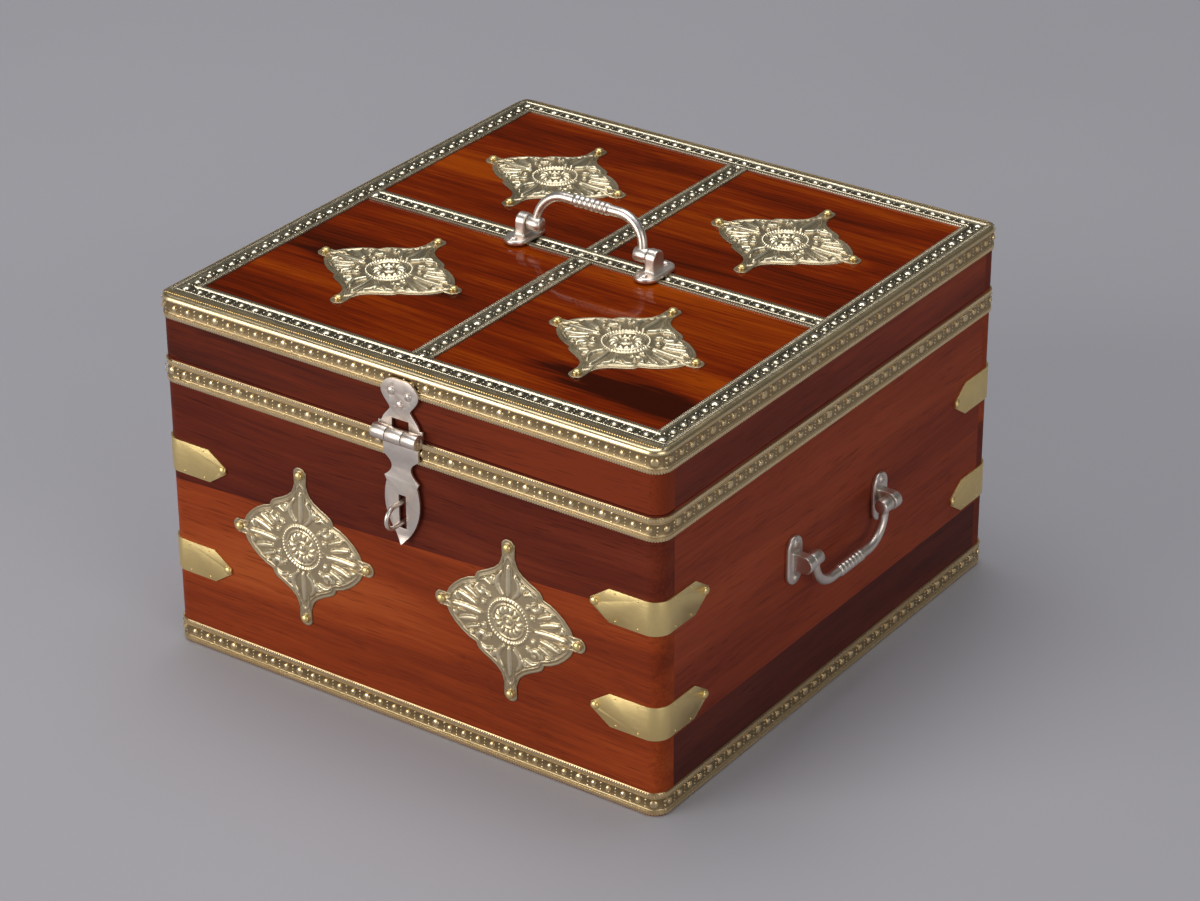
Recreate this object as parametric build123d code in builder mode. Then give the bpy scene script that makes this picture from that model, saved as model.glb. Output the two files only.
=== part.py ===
from build123d import *
import os
from math import asin, cos, radians, sin

# Overall size of the wood, in millimetres, with the origin on the floor under the case's centre
width = 305.0
depth = 312.0
case_height = 165.5
lid_gap = 0.5
lid_height = 33.2
board = 12.0
corner_radius = 8.0

# Heights of the glue lines between the lower and upper planks
front_joint_left = 96.0
front_joint_right = 112.0
right_joint = 41.0
left_joint = 70.0
back_joint = 88.0

# Bottom and lid panels
bottom_thickness = 6.0
bottom_lap = 6.0
lid_panel_thickness = 9.0
lid_panel_lap = 6.0

# Embossed brass strip
strip_width = 12.7
strip_thickness = 1.0
base_band_low = 0.5
rim_band_drop = 1.0
edge_round = 1.4
border_inset = 1.6
border_inset_front = 6.6

# Corner straps
strap_height = 18.5
strap_thickness = 1.0
strap_upper_z = 110.5
strap_lower_z = 52.5
strap_shoulder = 28.5
strap_reach = 39.5
strap_tip_half = 1.6
strap_nail_reach = 37.3

# Embossed plaques
plaque_thickness = 1.6
plaque_nail_reach = 41.0
plaque_ear_radius = 4.2
front_plaque_x = 64.5
front_plaque_below_middle = 0.5
lid_plaque_x = 73.0
lid_plaque_y = 72.0

# Dome nails and small screws
nail_head_radius = 2.4
nail_head_height = 1.5
nail_shank_radius = 0.8
nail_length = 8.0
screw_head_radius = 2.3
screw_head_height = 1.1
screw_shank_radius = 1.1
screw_length = 8.0
screw_slot = 0.5
hole_clearance = 0.05

# Hasp at the front, a little right of the middle
hasp_x = 2.2
hasp_knuckle_radius = 4.0
hasp_knuckle_length = 27.0
hasp_middle_length = 9.4
hasp_pin_radius = 1.6
hasp_plate = 1.3
hasp_axis_above_gap = 1.1
hasp_lobe_height = 29.0
hasp_lobe_half = 11.4
hasp_lobe_flat = 0.4
hasp_lobe_side_height = 21.5
hasp_waist_half = 6.4
hasp_waist_height = 13.4
hasp_flare_half = 10.6
hasp_flare_height = 7.0
hasp_window_height = 7.5
blade_length = 60.3
blade_half = 10.7
blade_shoulder_drop = 13.0
blade_waist_half = 5.9
blade_waist_drop = 18.0
blade_cusp_drop = 25.0
blade_notch_half = 9.3
blade_notch_drop = 27.6
blade_body_drop = 38.0
slot_width = 4.4
slot_length = 18.4
slot_drop = 42.8

# Wire staple that the blade closes over
staple_wire_radius = 1.2
staple_bend_radius = 5.6
staple_reach = 16.5
staple_root = 9.0

# Drop handles, one on the lid and one on each side
post_offset = 40.5
post_length = 27.0
post_width = 13.0
post_base = 2.6
post_base_round = 1.0
lug_thickness = 5.6
lug_foot = 10.0
lug_radius = 4.6
pivot_height = 9.0
trunnion_radius = 2.0
trunnion_length = 4.0
running_clearance = 0.05
bail_leg = 33.0
bail_reach = 18.0
bail_corner = 16.0
bail_radius = 2.7
bail_hub_radius = 3.9
bail_hub_gap = 0.4
bead_count = 7
bead_pitch = 2.9
bead_height = 0.75
handle_screw_offset = 9.8
top_bail_tilt = 12.0
side_handle_z = 91.0

# Butt hinges at the back
hinge_x = 85.0
hinge_width = 50.0
hinge_leaf_height = 19.0
hinge_leaf = 1.2
hinge_barrel_radius = 3.2
hinge_pin_radius = 1.5
hinge_wall_gap = 0.3
hinge_knuckle_gap = 0.4
hinge_notch_gap = 0.5
hinge_screw_pitch = 16.0
hinge_screw_drop = 13.0

# Places worked out from the sizes above
inner_x = width / 2 - board
inner_y = depth / 2 - board
lid_low = case_height + lid_gap
lid_top = lid_low + lid_height
rim_high = case_height - rim_band_drop
rim_low = rim_high - strip_width
side_band_low = lid_top + strip_thickness - strip_width
gap_z = case_height + lid_gap / 2
front_plaque_z = (base_band_low + strip_width + rim_low) / 2 - front_plaque_below_middle
trim_back = depth / 2 - border_inset - strip_width
trim_front = -depth / 2 + border_inset_front + strip_width
trim_x = width / 2 - border_inset - strip_width
trim_centre_y = (trim_back + trim_front) / 2
hasp_axis_z = gap_z + hasp_axis_above_gap
hasp_plane = strip_thickness + 0.4
hasp_axis_y = -(depth / 2 + hasp_plane + hasp_knuckle_radius)
hinge_axis_y = depth / 2 + hinge_wall_gap + hinge_barrel_radius
bead_span = bead_count * bead_pitch
parts_folder = "parts"


def front_seat(x, z, stand=0.0):
    """Plane on the front face, looking outward, that far out from the wood."""
    return Plane(origin=(x, -depth / 2 - stand, z), x_dir=(1, 0, 0), z_dir=(0, -1, 0))


def back_seat(x, z, stand=0.0):
    """Plane on the back face, looking outward."""
    return Plane(origin=(x, depth / 2 + stand, z), x_dir=(-1, 0, 0), z_dir=(0, 1, 0))


def side_seat(side, y, z, stand=0.0):
    """Plane on the right (+1) or left (-1) face, looking outward."""
    return Plane(origin=(side * (width / 2 + stand), y, z), x_dir=(0, side, 0), z_dir=(side, 0, 0))


def top_seat(x, y, stand=0.0):
    """Plane on the lid's top, looking up."""
    return Plane(origin=(x, y, lid_top + stand), x_dir=(1, 0, 0), z_dir=(0, 0, 1))


def axial_plane(seat):
    """Plane that holds the seat's own normal as its vertical, for a turned profile."""
    return Plane(origin=seat.origin, x_dir=seat.x_dir, z_dir=-seat.y_dir)


def turned_head(seat, head_radius, head_height, shank_radius, length):
    """Nail or screw with a domed head on the seat and a shank below it."""
    ball = (head_radius**2 + head_height**2) / (2 * head_height)
    half_angle = asin(head_radius / ball) / 2
    middle = (ball * sin(half_angle), head_height - ball + ball * cos(half_angle))
    with BuildPart() as fastener:
        with BuildSketch(axial_plane(seat)):
            with BuildLine():
                ThreePointArc((head_radius, 0), middle, (0, head_height))
                Polyline((0, head_height), (0, -length), (shank_radius, -length + shank_radius),
                         (shank_radius, 0), (head_radius, 0))
            make_face()
        revolve(axis=Axis(seat.origin, seat.z_dir))
    return fastener.part


def dome_nail(seat):
    """Domed nail."""
    return turned_head(seat, nail_head_radius, nail_head_height, nail_shank_radius, nail_length)


def slotted_screw(seat):
    """Domed screw with a driver slot."""
    blank = turned_head(seat, screw_head_radius, screw_head_height, screw_shank_radius, screw_length)
    with BuildPart() as screw:
        add(blank)
        with BuildSketch(seat.offset(screw_head_height / 2)):
            Rectangle(2 * screw_head_radius, screw_slot)
        extrude(amount=screw_head_height, mode=Mode.SUBTRACT)
    return screw.part


def cut_shanks(seats, shank_radius, length):
    """Cut a clearance hole for each shank out of the piece that is being built."""
    for seat in seats:
        with BuildSketch(seat.offset(strip_thickness)) as hole:
            Circle(shank_radius + hole_clearance)
        extrude(hole.sketch, amount=-length - 2 * strip_thickness, mode=Mode.SUBTRACT)


def cut_bottom_rebate():
    """Cut the seat of the bottom panel out of the plank that is being built."""
    with BuildSketch(Plane.XY) as rebate:
        Rectangle(2 * (inner_x + bottom_lap), 2 * (inner_y + bottom_lap))
    extrude(rebate.sketch, amount=bottom_thickness, mode=Mode.SUBTRACT)


def save(piece, name):
    """Label a finished piece and write it to its own file."""
    piece.label = name
    export_step(piece, f"{parts_folder}/{name}.step")


os.makedirs(parts_folder, exist_ok=True)

# Seats of every nail and screw, shared by the fastener and by the hole it sits in
strap_heights = {"lower": strap_lower_z, "upper": strap_upper_z}
end_seats = [
    seat(x, z, strap_thickness)
    for seat in (front_seat, back_seat)
    for z in strap_heights.values()
    for x in (-width / 2 + strap_nail_reach, width / 2 - strap_nail_reach)
]
flank_seats = [
    side_seat(side, y, z, strap_thickness)
    for side in (-1, 1)
    for z in strap_heights.values()
    for y in (-depth / 2 + strap_nail_reach, depth / 2 - strap_nail_reach)
]
ear_directions = [(1, 0), (0, 1), (-1, 0), (0, -1)]
front_plaque_centres = {"left": -front_plaque_x, "right": front_plaque_x}
front_plaque_seats = [
    front_seat(x + u * plaque_nail_reach, front_plaque_z + v * plaque_nail_reach, plaque_thickness)
    for x in front_plaque_centres.values()
    for u, v in ear_directions
]
lid_plaque_centres = {
    "front_left": (-lid_plaque_x, trim_centre_y - lid_plaque_y),
    "front_right": (lid_plaque_x, trim_centre_y - lid_plaque_y),
    "back_left": (-lid_plaque_x, trim_centre_y + lid_plaque_y),
    "back_right": (lid_plaque_x, trim_centre_y + lid_plaque_y),
}
lid_plaque_seats = [
    top_seat(x + u * plaque_nail_reach, y + v * plaque_nail_reach, plaque_thickness)
    for x, y in lid_plaque_centres.values()
    for u, v in ear_directions
]
hasp_screw_places = [(-5.0, 22.0), (5.0, 21.0), (0.0, 15.5)]
hasp_screw_stand = strip_thickness + hasp_plate
hasp_screw_seats = [
    front_seat(hasp_x + x, hasp_axis_z + z, hasp_screw_stand) for x, z in hasp_screw_places
]
hinge_screw_places = [
    (side * hinge_x + step * hinge_screw_pitch) for side in (-1, 1) for step in (-1, 0, 1)
]
hinge_case_seats = [back_seat(x, gap_z - hinge_screw_drop, hinge_leaf) for x in hinge_screw_places]
hinge_lid_seats = [back_seat(x, gap_z + hinge_screw_drop, hinge_leaf) for x in hinge_screw_places]
top_handle = top_seat(0, trim_centre_y, strip_thickness)
side_handles = {
    "right": side_seat(1, 0, side_handle_z),
    "left": side_seat(-1, 0, side_handle_z),
}


def post_screw_seats(seat):
    """Seats of the four screws that hold one handle's two posts."""
    return [
        Plane(
            origin=seat.from_local_coords((x * post_offset, y * handle_screw_offset, post_base)),
            x_dir=seat.x_dir,
            z_dir=seat.z_dir,
        )
        for x in (-1, 1)
        for y in (-1, 1)
    ]


top_handle_seats = post_screw_seats(top_handle)
side_handle_seats = {name: post_screw_seats(seat) for name, seat in side_handles.items()}

# Case planks: the front and back boards run the full width and show their ends at the sides
staple_z = hasp_axis_z - slot_drop
staple_holes = [front_seat(hasp_x, staple_z + side * staple_bend_radius) for side in (-1, 1)]

front_outlines = {
    "front_lower_plank": [(-width, 0), (width, 0), (width / 2, front_joint_right),
                          (-width / 2, front_joint_left)],
    "front_upper_plank": [(-width / 2, front_joint_left), (width / 2, front_joint_right),
                          (width, case_height), (-width, case_height)],
}
back_outlines = {
    "back_lower_plank": [(-width, 0), (width, 0), (width, back_joint), (-width, back_joint)],
    "back_upper_plank": [(-width, back_joint), (width, back_joint), (width, case_height),
                         (-width, case_height)],
}
for end, outlines in ((-1, front_outlines), (1, back_outlines)):
    for name, outline in outlines.items():
        with BuildPart() as plank:
            with BuildSketch(Plane.XY):
                RectangleRounded(width, depth, corner_radius)
                with Locations((0, -end * board)):
                    Rectangle(width, depth, mode=Mode.SUBTRACT)
            extrude(amount=case_height)
            with BuildSketch(Plane.XZ):
                with BuildLine():
                    Polyline(*outline, close=True)
                make_face()
            extrude(amount=depth, both=True, mode=Mode.INTERSECT)
            cut_bottom_rebate()
            cut_shanks(end_seats + front_plaque_seats, nail_shank_radius, nail_length)
            cut_shanks(hinge_case_seats, screw_shank_radius, screw_length)
            with BuildSketch(*staple_holes):
                Circle(staple_wire_radius + hole_clearance)
            extrude(amount=-staple_root - hole_clearance, mode=Mode.SUBTRACT)
        save(plank.part, name)

# Side planks stand between the end boards
side_joints = {"right": (1, right_joint), "left": (-1, left_joint)}
for side_name, (side, joint) in side_joints.items():
    for level, low, high in (("lower", 0, joint), ("upper", joint, case_height)):
        with BuildPart() as plank:
            with BuildSketch(Plane.XY.offset(low)):
                with Locations((side * (width - board) / 2, 0)):
                    Rectangle(board, 2 * inner_y)
            extrude(amount=high - low)
            cut_bottom_rebate()
            cut_shanks(flank_seats, nail_shank_radius, nail_length)
            cut_shanks(side_handle_seats[side_name], screw_shank_radius, screw_length)
        save(plank.part, f"{side_name}_{level}_plank")

with BuildPart() as bottom_panel:
    with BuildSketch(Plane.XY):
        Rectangle(2 * (inner_x + bottom_lap), 2 * (inner_y + bottom_lap))
    extrude(amount=bottom_thickness)
save(bottom_panel.part, "bottom_panel")

# Lid: a rounded block, hollow underneath, cut into four rails and a panel let into them
with BuildPart() as lid_panel:
    with BuildSketch(Plane.XY.offset(lid_top - lid_panel_thickness)):
        Rectangle(2 * (inner_x + lid_panel_lap), 2 * (inner_y + lid_panel_lap))
    extrude(amount=lid_panel_thickness)
    cut_shanks(lid_plaque_seats, nail_shank_radius, nail_length)
    cut_shanks(top_handle_seats, screw_shank_radius, screw_length)
save(lid_panel.part, "lid_panel")

with BuildPart() as lid_block:
    with BuildSketch(Plane.XY.offset(lid_low)):
        RectangleRounded(width, depth, corner_radius)
    extrude(amount=lid_height)
    fillet(lid_block.faces().sort_by(Axis.Z)[-1].edges(), edge_round)
    with BuildSketch(Plane.XY.offset(lid_low)):
        Rectangle(2 * inner_x, 2 * inner_y)
    extrude(amount=lid_height, mode=Mode.SUBTRACT)
    with BuildSketch(Plane.XY.offset(lid_top)):
        Rectangle(2 * (inner_x + lid_panel_lap), 2 * (inner_y + lid_panel_lap))
    extrude(amount=-lid_panel_thickness, mode=Mode.SUBTRACT)

rail_regions = {
    "lid_front_rail": ((0, -(depth - board) / 2), (width, board)),
    "lid_back_rail": ((0, (depth - board) / 2), (width, board)),
    "lid_left_rail": ((-(width - board) / 2, 0), (board, 2 * inner_y)),
    "lid_right_rail": (((width - board) / 2, 0), (board, 2 * inner_y)),
}
for name, (centre, size) in rail_regions.items():
    with BuildPart() as rail:
        add(lid_block.part)
        with BuildSketch(Plane.XY.offset(lid_low)):
            with Locations(centre):
                Rectangle(*size)
        extrude(amount=lid_height, mode=Mode.INTERSECT)
        cut_shanks(hasp_screw_seats + hinge_lid_seats, screw_shank_radius, screw_length)
    save(rail.part, name)


def wall_band(low, high):
    """Strip that wraps the four outer faces from one height to another."""
    with BuildPart() as band:
        with BuildSketch(Plane.XY.offset(low)):
            RectangleRounded(width + 2 * strip_thickness, depth + 2 * strip_thickness,
                             corner_radius + strip_thickness)
            RectangleRounded(width, depth, corner_radius, mode=Mode.SUBTRACT)
        extrude(amount=high - low)
    return band.part


base_ring = wall_band(base_band_low, base_band_low + strip_width)
save(base_ring, "base_band")

rim_ring = wall_band(rim_low, rim_high)
with BuildPart() as rim_band:
    add(rim_ring)
    with BuildSketch(Plane.XY.offset(rim_low)):
        with Locations((-hinge_x, depth / 2), (hinge_x, depth / 2)):
            Rectangle(hinge_width + 2 * hinge_notch_gap, board)
    extrude(amount=strip_width, mode=Mode.SUBTRACT)
save(rim_band.part, "rim_band")

# Lid side band: a strip round the lid's sides, folded over its rounded top edge
with BuildPart() as lid_cap:
    with BuildSketch(Plane.XY.offset(side_band_low)):
        RectangleRounded(width + 2 * strip_thickness, depth + 2 * strip_thickness,
                         corner_radius + strip_thickness)
    extrude(amount=strip_width)
    fillet(lid_cap.faces().sort_by(Axis.Z)[-1].edges(), edge_round + strip_thickness)

with BuildPart() as lid_core:
    with BuildSketch(Plane.XY.offset(lid_low)):
        RectangleRounded(width, depth, corner_radius)
    extrude(amount=lid_height)
    fillet(lid_core.faces().sort_by(Axis.Z)[-1].edges(), edge_round)

border_outer = {
    "left": -width / 2 + border_inset,
    "right": width / 2 - border_inset,
    "front": -depth / 2 + border_inset_front,
    "back": depth / 2 - border_inset,
}
border_inner = {"left": -trim_x, "right": trim_x, "front": trim_front, "back": trim_back}

with BuildPart() as lid_side_band:
    add(lid_cap.part)
    add(lid_core.part, mode=Mode.SUBTRACT)
    with BuildSketch(Plane.XY.offset(lid_top)):
        with Locations((0, (border_outer["front"] + border_outer["back"]) / 2)):
            Rectangle(border_outer["right"] - border_outer["left"],
                      border_outer["back"] - border_outer["front"])
    extrude(amount=strip_thickness, mode=Mode.SUBTRACT)
    cut_shanks(hasp_screw_seats, screw_shank_radius, screw_length)
save(lid_side_band.part, "lid_side_band")


def corner_of(frame, x_side, y_side):
    """One corner of the outer or inner border rectangle."""
    return (frame[x_side], frame[y_side])


border_corners = {
    "front": (("left", "front"), ("right", "front")),
    "right": (("right", "front"), ("right", "back")),
    "back": (("right", "back"), ("left", "back")),
    "left": (("left", "back"), ("left", "front")),
}
for name, (start, end) in border_corners.items():
    with BuildPart() as border:
        with BuildSketch(Plane.XY.offset(lid_top)):
            with BuildLine():
                Polyline(corner_of(border_outer, *start), corner_of(border_outer, *end),
                         corner_of(border_inner, *end), corner_of(border_inner, *start), close=True)
            make_face()
        extrude(amount=strip_thickness)
    save(border.part, f"lid_border_{name}")

# Crossing strips: the long one runs through, the short one is in two lengths that butt against it
with BuildPart() as lid_cross_strip_long:
    with BuildSketch(Plane.XY.offset(lid_top)):
        with Locations((0, trim_centre_y)):
            Rectangle(2 * trim_x, strip_width)
    extrude(amount=strip_thickness)
    cut_shanks(top_handle_seats, screw_shank_radius, screw_length)
save(lid_cross_strip_long.part, "lid_cross_strip_long")

with BuildPart() as lid_cross_strip_short:
    with BuildSketch(Plane.XY.offset(lid_top)):
        with Locations((0, trim_centre_y)):
            Rectangle(strip_width, trim_back - trim_front)
            Rectangle(2 * strip_width, strip_width, mode=Mode.SUBTRACT)
    extrude(amount=strip_thickness)
save(lid_cross_strip_short.part, "lid_cross_strip_short")


def strap_outline(x_corner, z):
    """Elevation of one strap arm: full height at the corner, then two chamfers to its tip."""
    inward = -1 if x_corner > 0 else 1
    out = x_corner - inward * 2 * strap_thickness
    shoulder = x_corner + inward * strap_shoulder
    tip = x_corner + inward * strap_reach
    half = strap_height / 2
    return [(out, z - half), (shoulder, z - half), (tip, z - strap_tip_half),
            (tip, z + strap_tip_half), (shoulder, z + half), (out, z + half)]


for level, z in strap_heights.items():
    for end_name, end in (("front", -1), ("back", 1)):
        for side_name, side in (("left", -1), ("right", 1)):
            with BuildPart() as strap:
                with BuildSketch(Plane.XY.offset(z - strap_height / 2)):
                    RectangleRounded(width + 2 * strap_thickness, depth + 2 * strap_thickness,
                                     corner_radius + strap_thickness)
                    RectangleRounded(width, depth, corner_radius, mode=Mode.SUBTRACT)
                    with Locations((side * width / 2, end * depth / 2)):
                        Rectangle(2 * strap_reach, 2 * strap_reach, mode=Mode.INTERSECT)
                extrude(amount=strap_height)
                with BuildSketch(Plane.XZ):
                    with BuildLine():
                        Polyline(*strap_outline(side * width / 2, z), close=True)
                    make_face()
                extrude(amount=depth, both=True, mode=Mode.INTERSECT)
                with BuildSketch(Plane.YZ):
                    with BuildLine():
                        Polyline(*strap_outline(end * depth / 2, z), close=True)
                    make_face()
                extrude(amount=width, both=True, mode=Mode.INTERSECT)
                cut_shanks([seat.offset(-strap_thickness) for seat in end_seats + flank_seats],
                           nail_shank_radius, nail_length)
            save(strap.part, f"{end_name}_{side_name}_{level}_strap")


def fastener_group(makers):
    """Join separate fasteners into one node."""
    with BuildPart() as group:
        for maker, seats in makers:
            for seat in seats:
                add(maker(seat))
    return group.part


save(fastener_group([(dome_nail, end_seats + flank_seats)]), "strap_nails")
save(fastener_group([(dome_nail, lid_plaque_seats)]), "lid_plaque_nails")
save(fastener_group([(dome_nail, front_plaque_seats)]), "front_plaque_nails")
save(fastener_group([(slotted_screw, hasp_screw_seats)]), "hasp_screws")
save(fastener_group([(slotted_screw, top_handle_seats + hinge_lid_seats)]), "lid_screws")
case_screws = side_handle_seats["right"] + side_handle_seats["left"] + hinge_case_seats
save(fastener_group([(slotted_screw, case_screws)]), "case_screws")

# Plaques: broad shoulders at the two side ears, long necks to the upper and lower ears
neck = (4.1, 34.0)
neck_root = (8.6, 27.6)
cusp = (19.6, 20.6)
step = (20.6, 18.2)
shoulder_high = (29.2, 14.4)
shoulder_low = (36.4, 7.4)
ear_root = (38.0, 3.2)


def plaque(seat, ear_seats):
    """Plate with the escutcheon outline and a low oval boss."""
    with BuildPart() as plate:
        with BuildSketch(seat):
            with BuildLine():
                Spline((neck[0], plaque_nail_reach), neck, neck_root, cusp)
                Line(cusp, step)
                Spline(step, shoulder_high, shoulder_low, ear_root)
                Polyline(ear_root, (ear_root[0], 0), (0, 0), (0, plaque_nail_reach),
                         (neck[0], plaque_nail_reach))
            make_face()
            mirror(about=Plane.YZ)
            mirror(about=Plane.XZ)
            with Locations(*[(u * plaque_nail_reach, v * plaque_nail_reach) for u, v in ear_directions]):
                Circle(plaque_ear_radius)
        extrude(amount=plaque_thickness)
        for ear in ear_seats:
            with BuildSketch(ear):
                Circle(nail_shank_radius + hole_clearance)
            extrude(amount=-plaque_thickness, mode=Mode.SUBTRACT)
    return plate.part


for side_name, x in front_plaque_centres.items():
    piece = plaque(front_seat(x, front_plaque_z), front_plaque_seats)
    save(piece, f"front_{side_name}_plaque")
for corner_name, (x, y) in lid_plaque_centres.items():
    piece = plaque(top_seat(x, y), lid_plaque_seats)
    save(piece, f"lid_{corner_name}_plaque")

# Hasp: the leaf carries the two outer knuckles, the blade carries the middle one
hasp_seat = front_seat(hasp_x, hasp_axis_z, strip_thickness)
blade_seat = front_seat(hasp_x, hasp_axis_z, hasp_plane)
hasp_across = Plane(origin=(hasp_x, hasp_axis_y, hasp_axis_z), x_dir=(0, 1, 0), z_dir=(1, 0, 0))
hasp_outer_length = (hasp_knuckle_length - hasp_middle_length) / 2 - hinge_knuckle_gap
hasp_tab_height = hasp_knuckle_radius + hinge_knuckle_gap
hasp_outer_centres = [side * (hasp_knuckle_length - hasp_outer_length) / 2 for side in (-1, 1)]
barrel_back = hasp_plane - strip_thickness
hasp_flare_way = (0.6, -0.8)


def hasp_bore():
    """Cut the pin's hole out of the knuckles that are being built."""
    with BuildSketch(hasp_across) as bore:
        Circle(hasp_pin_radius + running_clearance)
    extrude(bore.sketch, amount=hasp_knuckle_length, both=True, mode=Mode.SUBTRACT)


with BuildPart() as hasp_upper_leaf:
    with BuildSketch(hasp_seat):
        with BuildLine():
            Spline((0, hasp_lobe_height), (hasp_lobe_half / 2, hasp_lobe_height - hasp_lobe_flat),
                   (hasp_lobe_half, hasp_lobe_side_height), (hasp_waist_half, hasp_waist_height),
                   (hasp_flare_half, hasp_flare_height), tangents=((1, 0), hasp_flare_way))
            Polyline((hasp_flare_half, hasp_flare_height), (hasp_knuckle_length / 2, 0), (0, 0),
                     (0, hasp_lobe_height))
        make_face()
        mirror(about=Plane.YZ)
        with Locations((0, hasp_window_height / 2)):
            Rectangle(hasp_middle_length + 2 * hinge_knuckle_gap, hasp_window_height,
                      mode=Mode.SUBTRACT)
    extrude(amount=hasp_plate)
    for x in hasp_outer_centres:
        with BuildSketch(hasp_across.offset(x - hasp_outer_length / 2)):
            Circle(hasp_knuckle_radius)
            with Locations(((hasp_knuckle_radius + barrel_back - hasp_plate / 2), hasp_tab_height / 2)):
                Rectangle(hasp_plate, hasp_tab_height)
        extrude(amount=hasp_outer_length)
    hasp_bore()
    cut_shanks(hasp_screw_seats, screw_shank_radius, screw_length)
save(hasp_upper_leaf.part, "hasp_upper_leaf")

with BuildPart() as hasp_blade:
    with BuildSketch(blade_seat):
        with BuildLine():
            Polyline((0, -hasp_tab_height), (blade_half, -hasp_tab_height),
                     (blade_half, -blade_shoulder_drop))
            Spline((blade_half, -blade_shoulder_drop), (blade_waist_half, -blade_waist_drop),
                   (blade_half, -blade_cusp_drop))
            Line((blade_half, -blade_cusp_drop), (blade_notch_half, -blade_notch_drop))
            Spline((blade_notch_half, -blade_notch_drop), (blade_half, -blade_body_drop),
                   (0, -blade_length))
            Line((0, -blade_length), (0, -hasp_tab_height))
        make_face()
        mirror(about=Plane.YZ)
        with Locations((0, -slot_drop)):
            Rectangle(slot_width, slot_length, mode=Mode.SUBTRACT)
        with Locations((0, -hasp_tab_height / 2 - hasp_plate / 2)):
            Rectangle(hasp_middle_length, hasp_tab_height + hasp_plate)
    extrude(amount=hasp_plate)
    with BuildSketch(hasp_across.offset(-hasp_middle_length / 2)):
        Circle(hasp_knuckle_radius)
    extrude(amount=hasp_middle_length)
    hasp_bore()
save(hasp_blade.part, "hasp_blade")

with BuildPart() as hasp_pin:
    with BuildSketch(hasp_across.offset(-hasp_knuckle_length / 2)):
        Circle(hasp_pin_radius)
    extrude(amount=hasp_knuckle_length)
save(hasp_pin.part, "hasp_pin")

staple_bend_y = -(depth / 2 + staple_reach - staple_wire_radius - staple_bend_radius)
staple_root_y = -depth / 2 + staple_root
with BuildPart() as hasp_staple:
    with BuildLine() as staple_path:
        high = (hasp_x, staple_root_y, staple_z + staple_bend_radius)
        low = (hasp_x, staple_root_y, staple_z - staple_bend_radius)
        bend_high = (hasp_x, staple_bend_y, staple_z + staple_bend_radius)
        bend_low = (hasp_x, staple_bend_y, staple_z - staple_bend_radius)
        Line(high, bend_high)
        ThreePointArc(bend_high, (hasp_x, staple_bend_y - staple_bend_radius, staple_z), bend_low)
        Line(bend_low, low)
    with BuildSketch(Plane(origin=high, x_dir=(1, 0, 0), z_dir=(0, -1, 0))):
        Circle(staple_wire_radius)
    sweep(path=staple_path.wires()[0])
save(hasp_staple.part, "hasp_staple")


def lug_plane(seat, x):
    """Plane across one handle's pivot line, that far along it from the middle."""
    return Plane(origin=seat.from_local_coords((x, 0, 0)), x_dir=seat.y_dir, z_dir=seat.x_dir)


def handle_posts(seat):
    """Two posts: an oval foot with a rounded lug that holds one end of the bail."""
    with BuildPart() as posts:
        for side in (-1, 1):
            with BuildSketch(seat):
                with Locations((side * post_offset, 0)):
                    SlotOverall(post_length, post_width, rotation=90)
            extrude(amount=post_base)
        tops = posts.faces().filter_by(Plane(seat.origin, z_dir=seat.z_dir)).sort_by(
            Axis(seat.origin, seat.z_dir))[-2:]
        fillet([edge for face in tops for edge in face.edges()], post_base_round)
        for side in (-1, 1):
            start = side * post_offset - lug_thickness / 2
            with BuildSketch(lug_plane(seat, start)):
                with Locations((0, pivot_height)):
                    Circle(lug_radius)
                with Locations((0, post_base / 4)):
                    Rectangle(lug_foot, post_base / 2)
                make_hull()
            extrude(amount=lug_thickness)
            inner_face = side * (post_offset - lug_thickness / 2)
            with BuildSketch(lug_plane(seat, inner_face)):
                with Locations((0, pivot_height)):
                    Circle(trunnion_radius + running_clearance)
            extrude(amount=side * (trunnion_length + 2 * hinge_knuckle_gap), mode=Mode.SUBTRACT)
        for screw_seat in post_screw_seats(seat):
            with BuildSketch(screw_seat):
                Circle(screw_shank_radius + hole_clearance)
            extrude(amount=-post_base, mode=Mode.SUBTRACT)
    return posts.part


def handle_bail(seat, toward):
    """Bail between the posts, its grip that far out from the pivot line along a direction."""
    pivot = seat.from_local_coords((0, 0, pivot_height))
    along = seat.x_dir
    face = Plane(origin=pivot, x_dir=along, z_dir=along.cross(toward))
    lug_inner = post_offset - lug_thickness / 2
    hub_outer = lug_inner - bail_hub_gap
    hub_inner = bail_leg - bail_hub_radius
    with BuildPart() as bail:
        with BuildLine(face) as path:
            FilletPolyline((-bail_leg, 0), (-bail_leg, bail_reach), (bail_leg, bail_reach),
                           (bail_leg, 0), radius=bail_corner)
        foot = face.from_local_coords((-bail_leg, 0, 0))
        with BuildSketch(Plane(origin=foot, x_dir=along, z_dir=toward)):
            Circle(bail_radius)
        sweep(path=path.wires()[0])
        for side in (-1, 1):
            with BuildSketch(lug_plane(face_seat(face), side * hub_inner)):
                Circle(bail_hub_radius)
            extrude(amount=side * (hub_outer - hub_inner))
            with BuildSketch(lug_plane(face_seat(face), side * hub_outer)):
                Circle(trunnion_radius)
            extrude(amount=side * (trunnion_length + bail_hub_gap))
        with BuildSketch(face):
            with BuildLine():
                bead_start = -bead_span / 2
                for index in range(bead_count):
                    left = bead_start + index * bead_pitch
                    ThreePointArc((left, bail_reach + bail_radius),
                                  (left + bead_pitch / 2, bail_reach + bail_radius + bead_height),
                                  (left + bead_pitch, bail_reach + bail_radius))
                Polyline((-bead_start, bail_reach + bail_radius), (-bead_start, bail_reach),
                         (bead_start, bail_reach), (bead_start, bail_reach + bail_radius))
            make_face()
        grip = face.from_local_coords((0, bail_reach, 0))
        revolve(axis=Axis(grip, along))
    return bail.part


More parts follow.
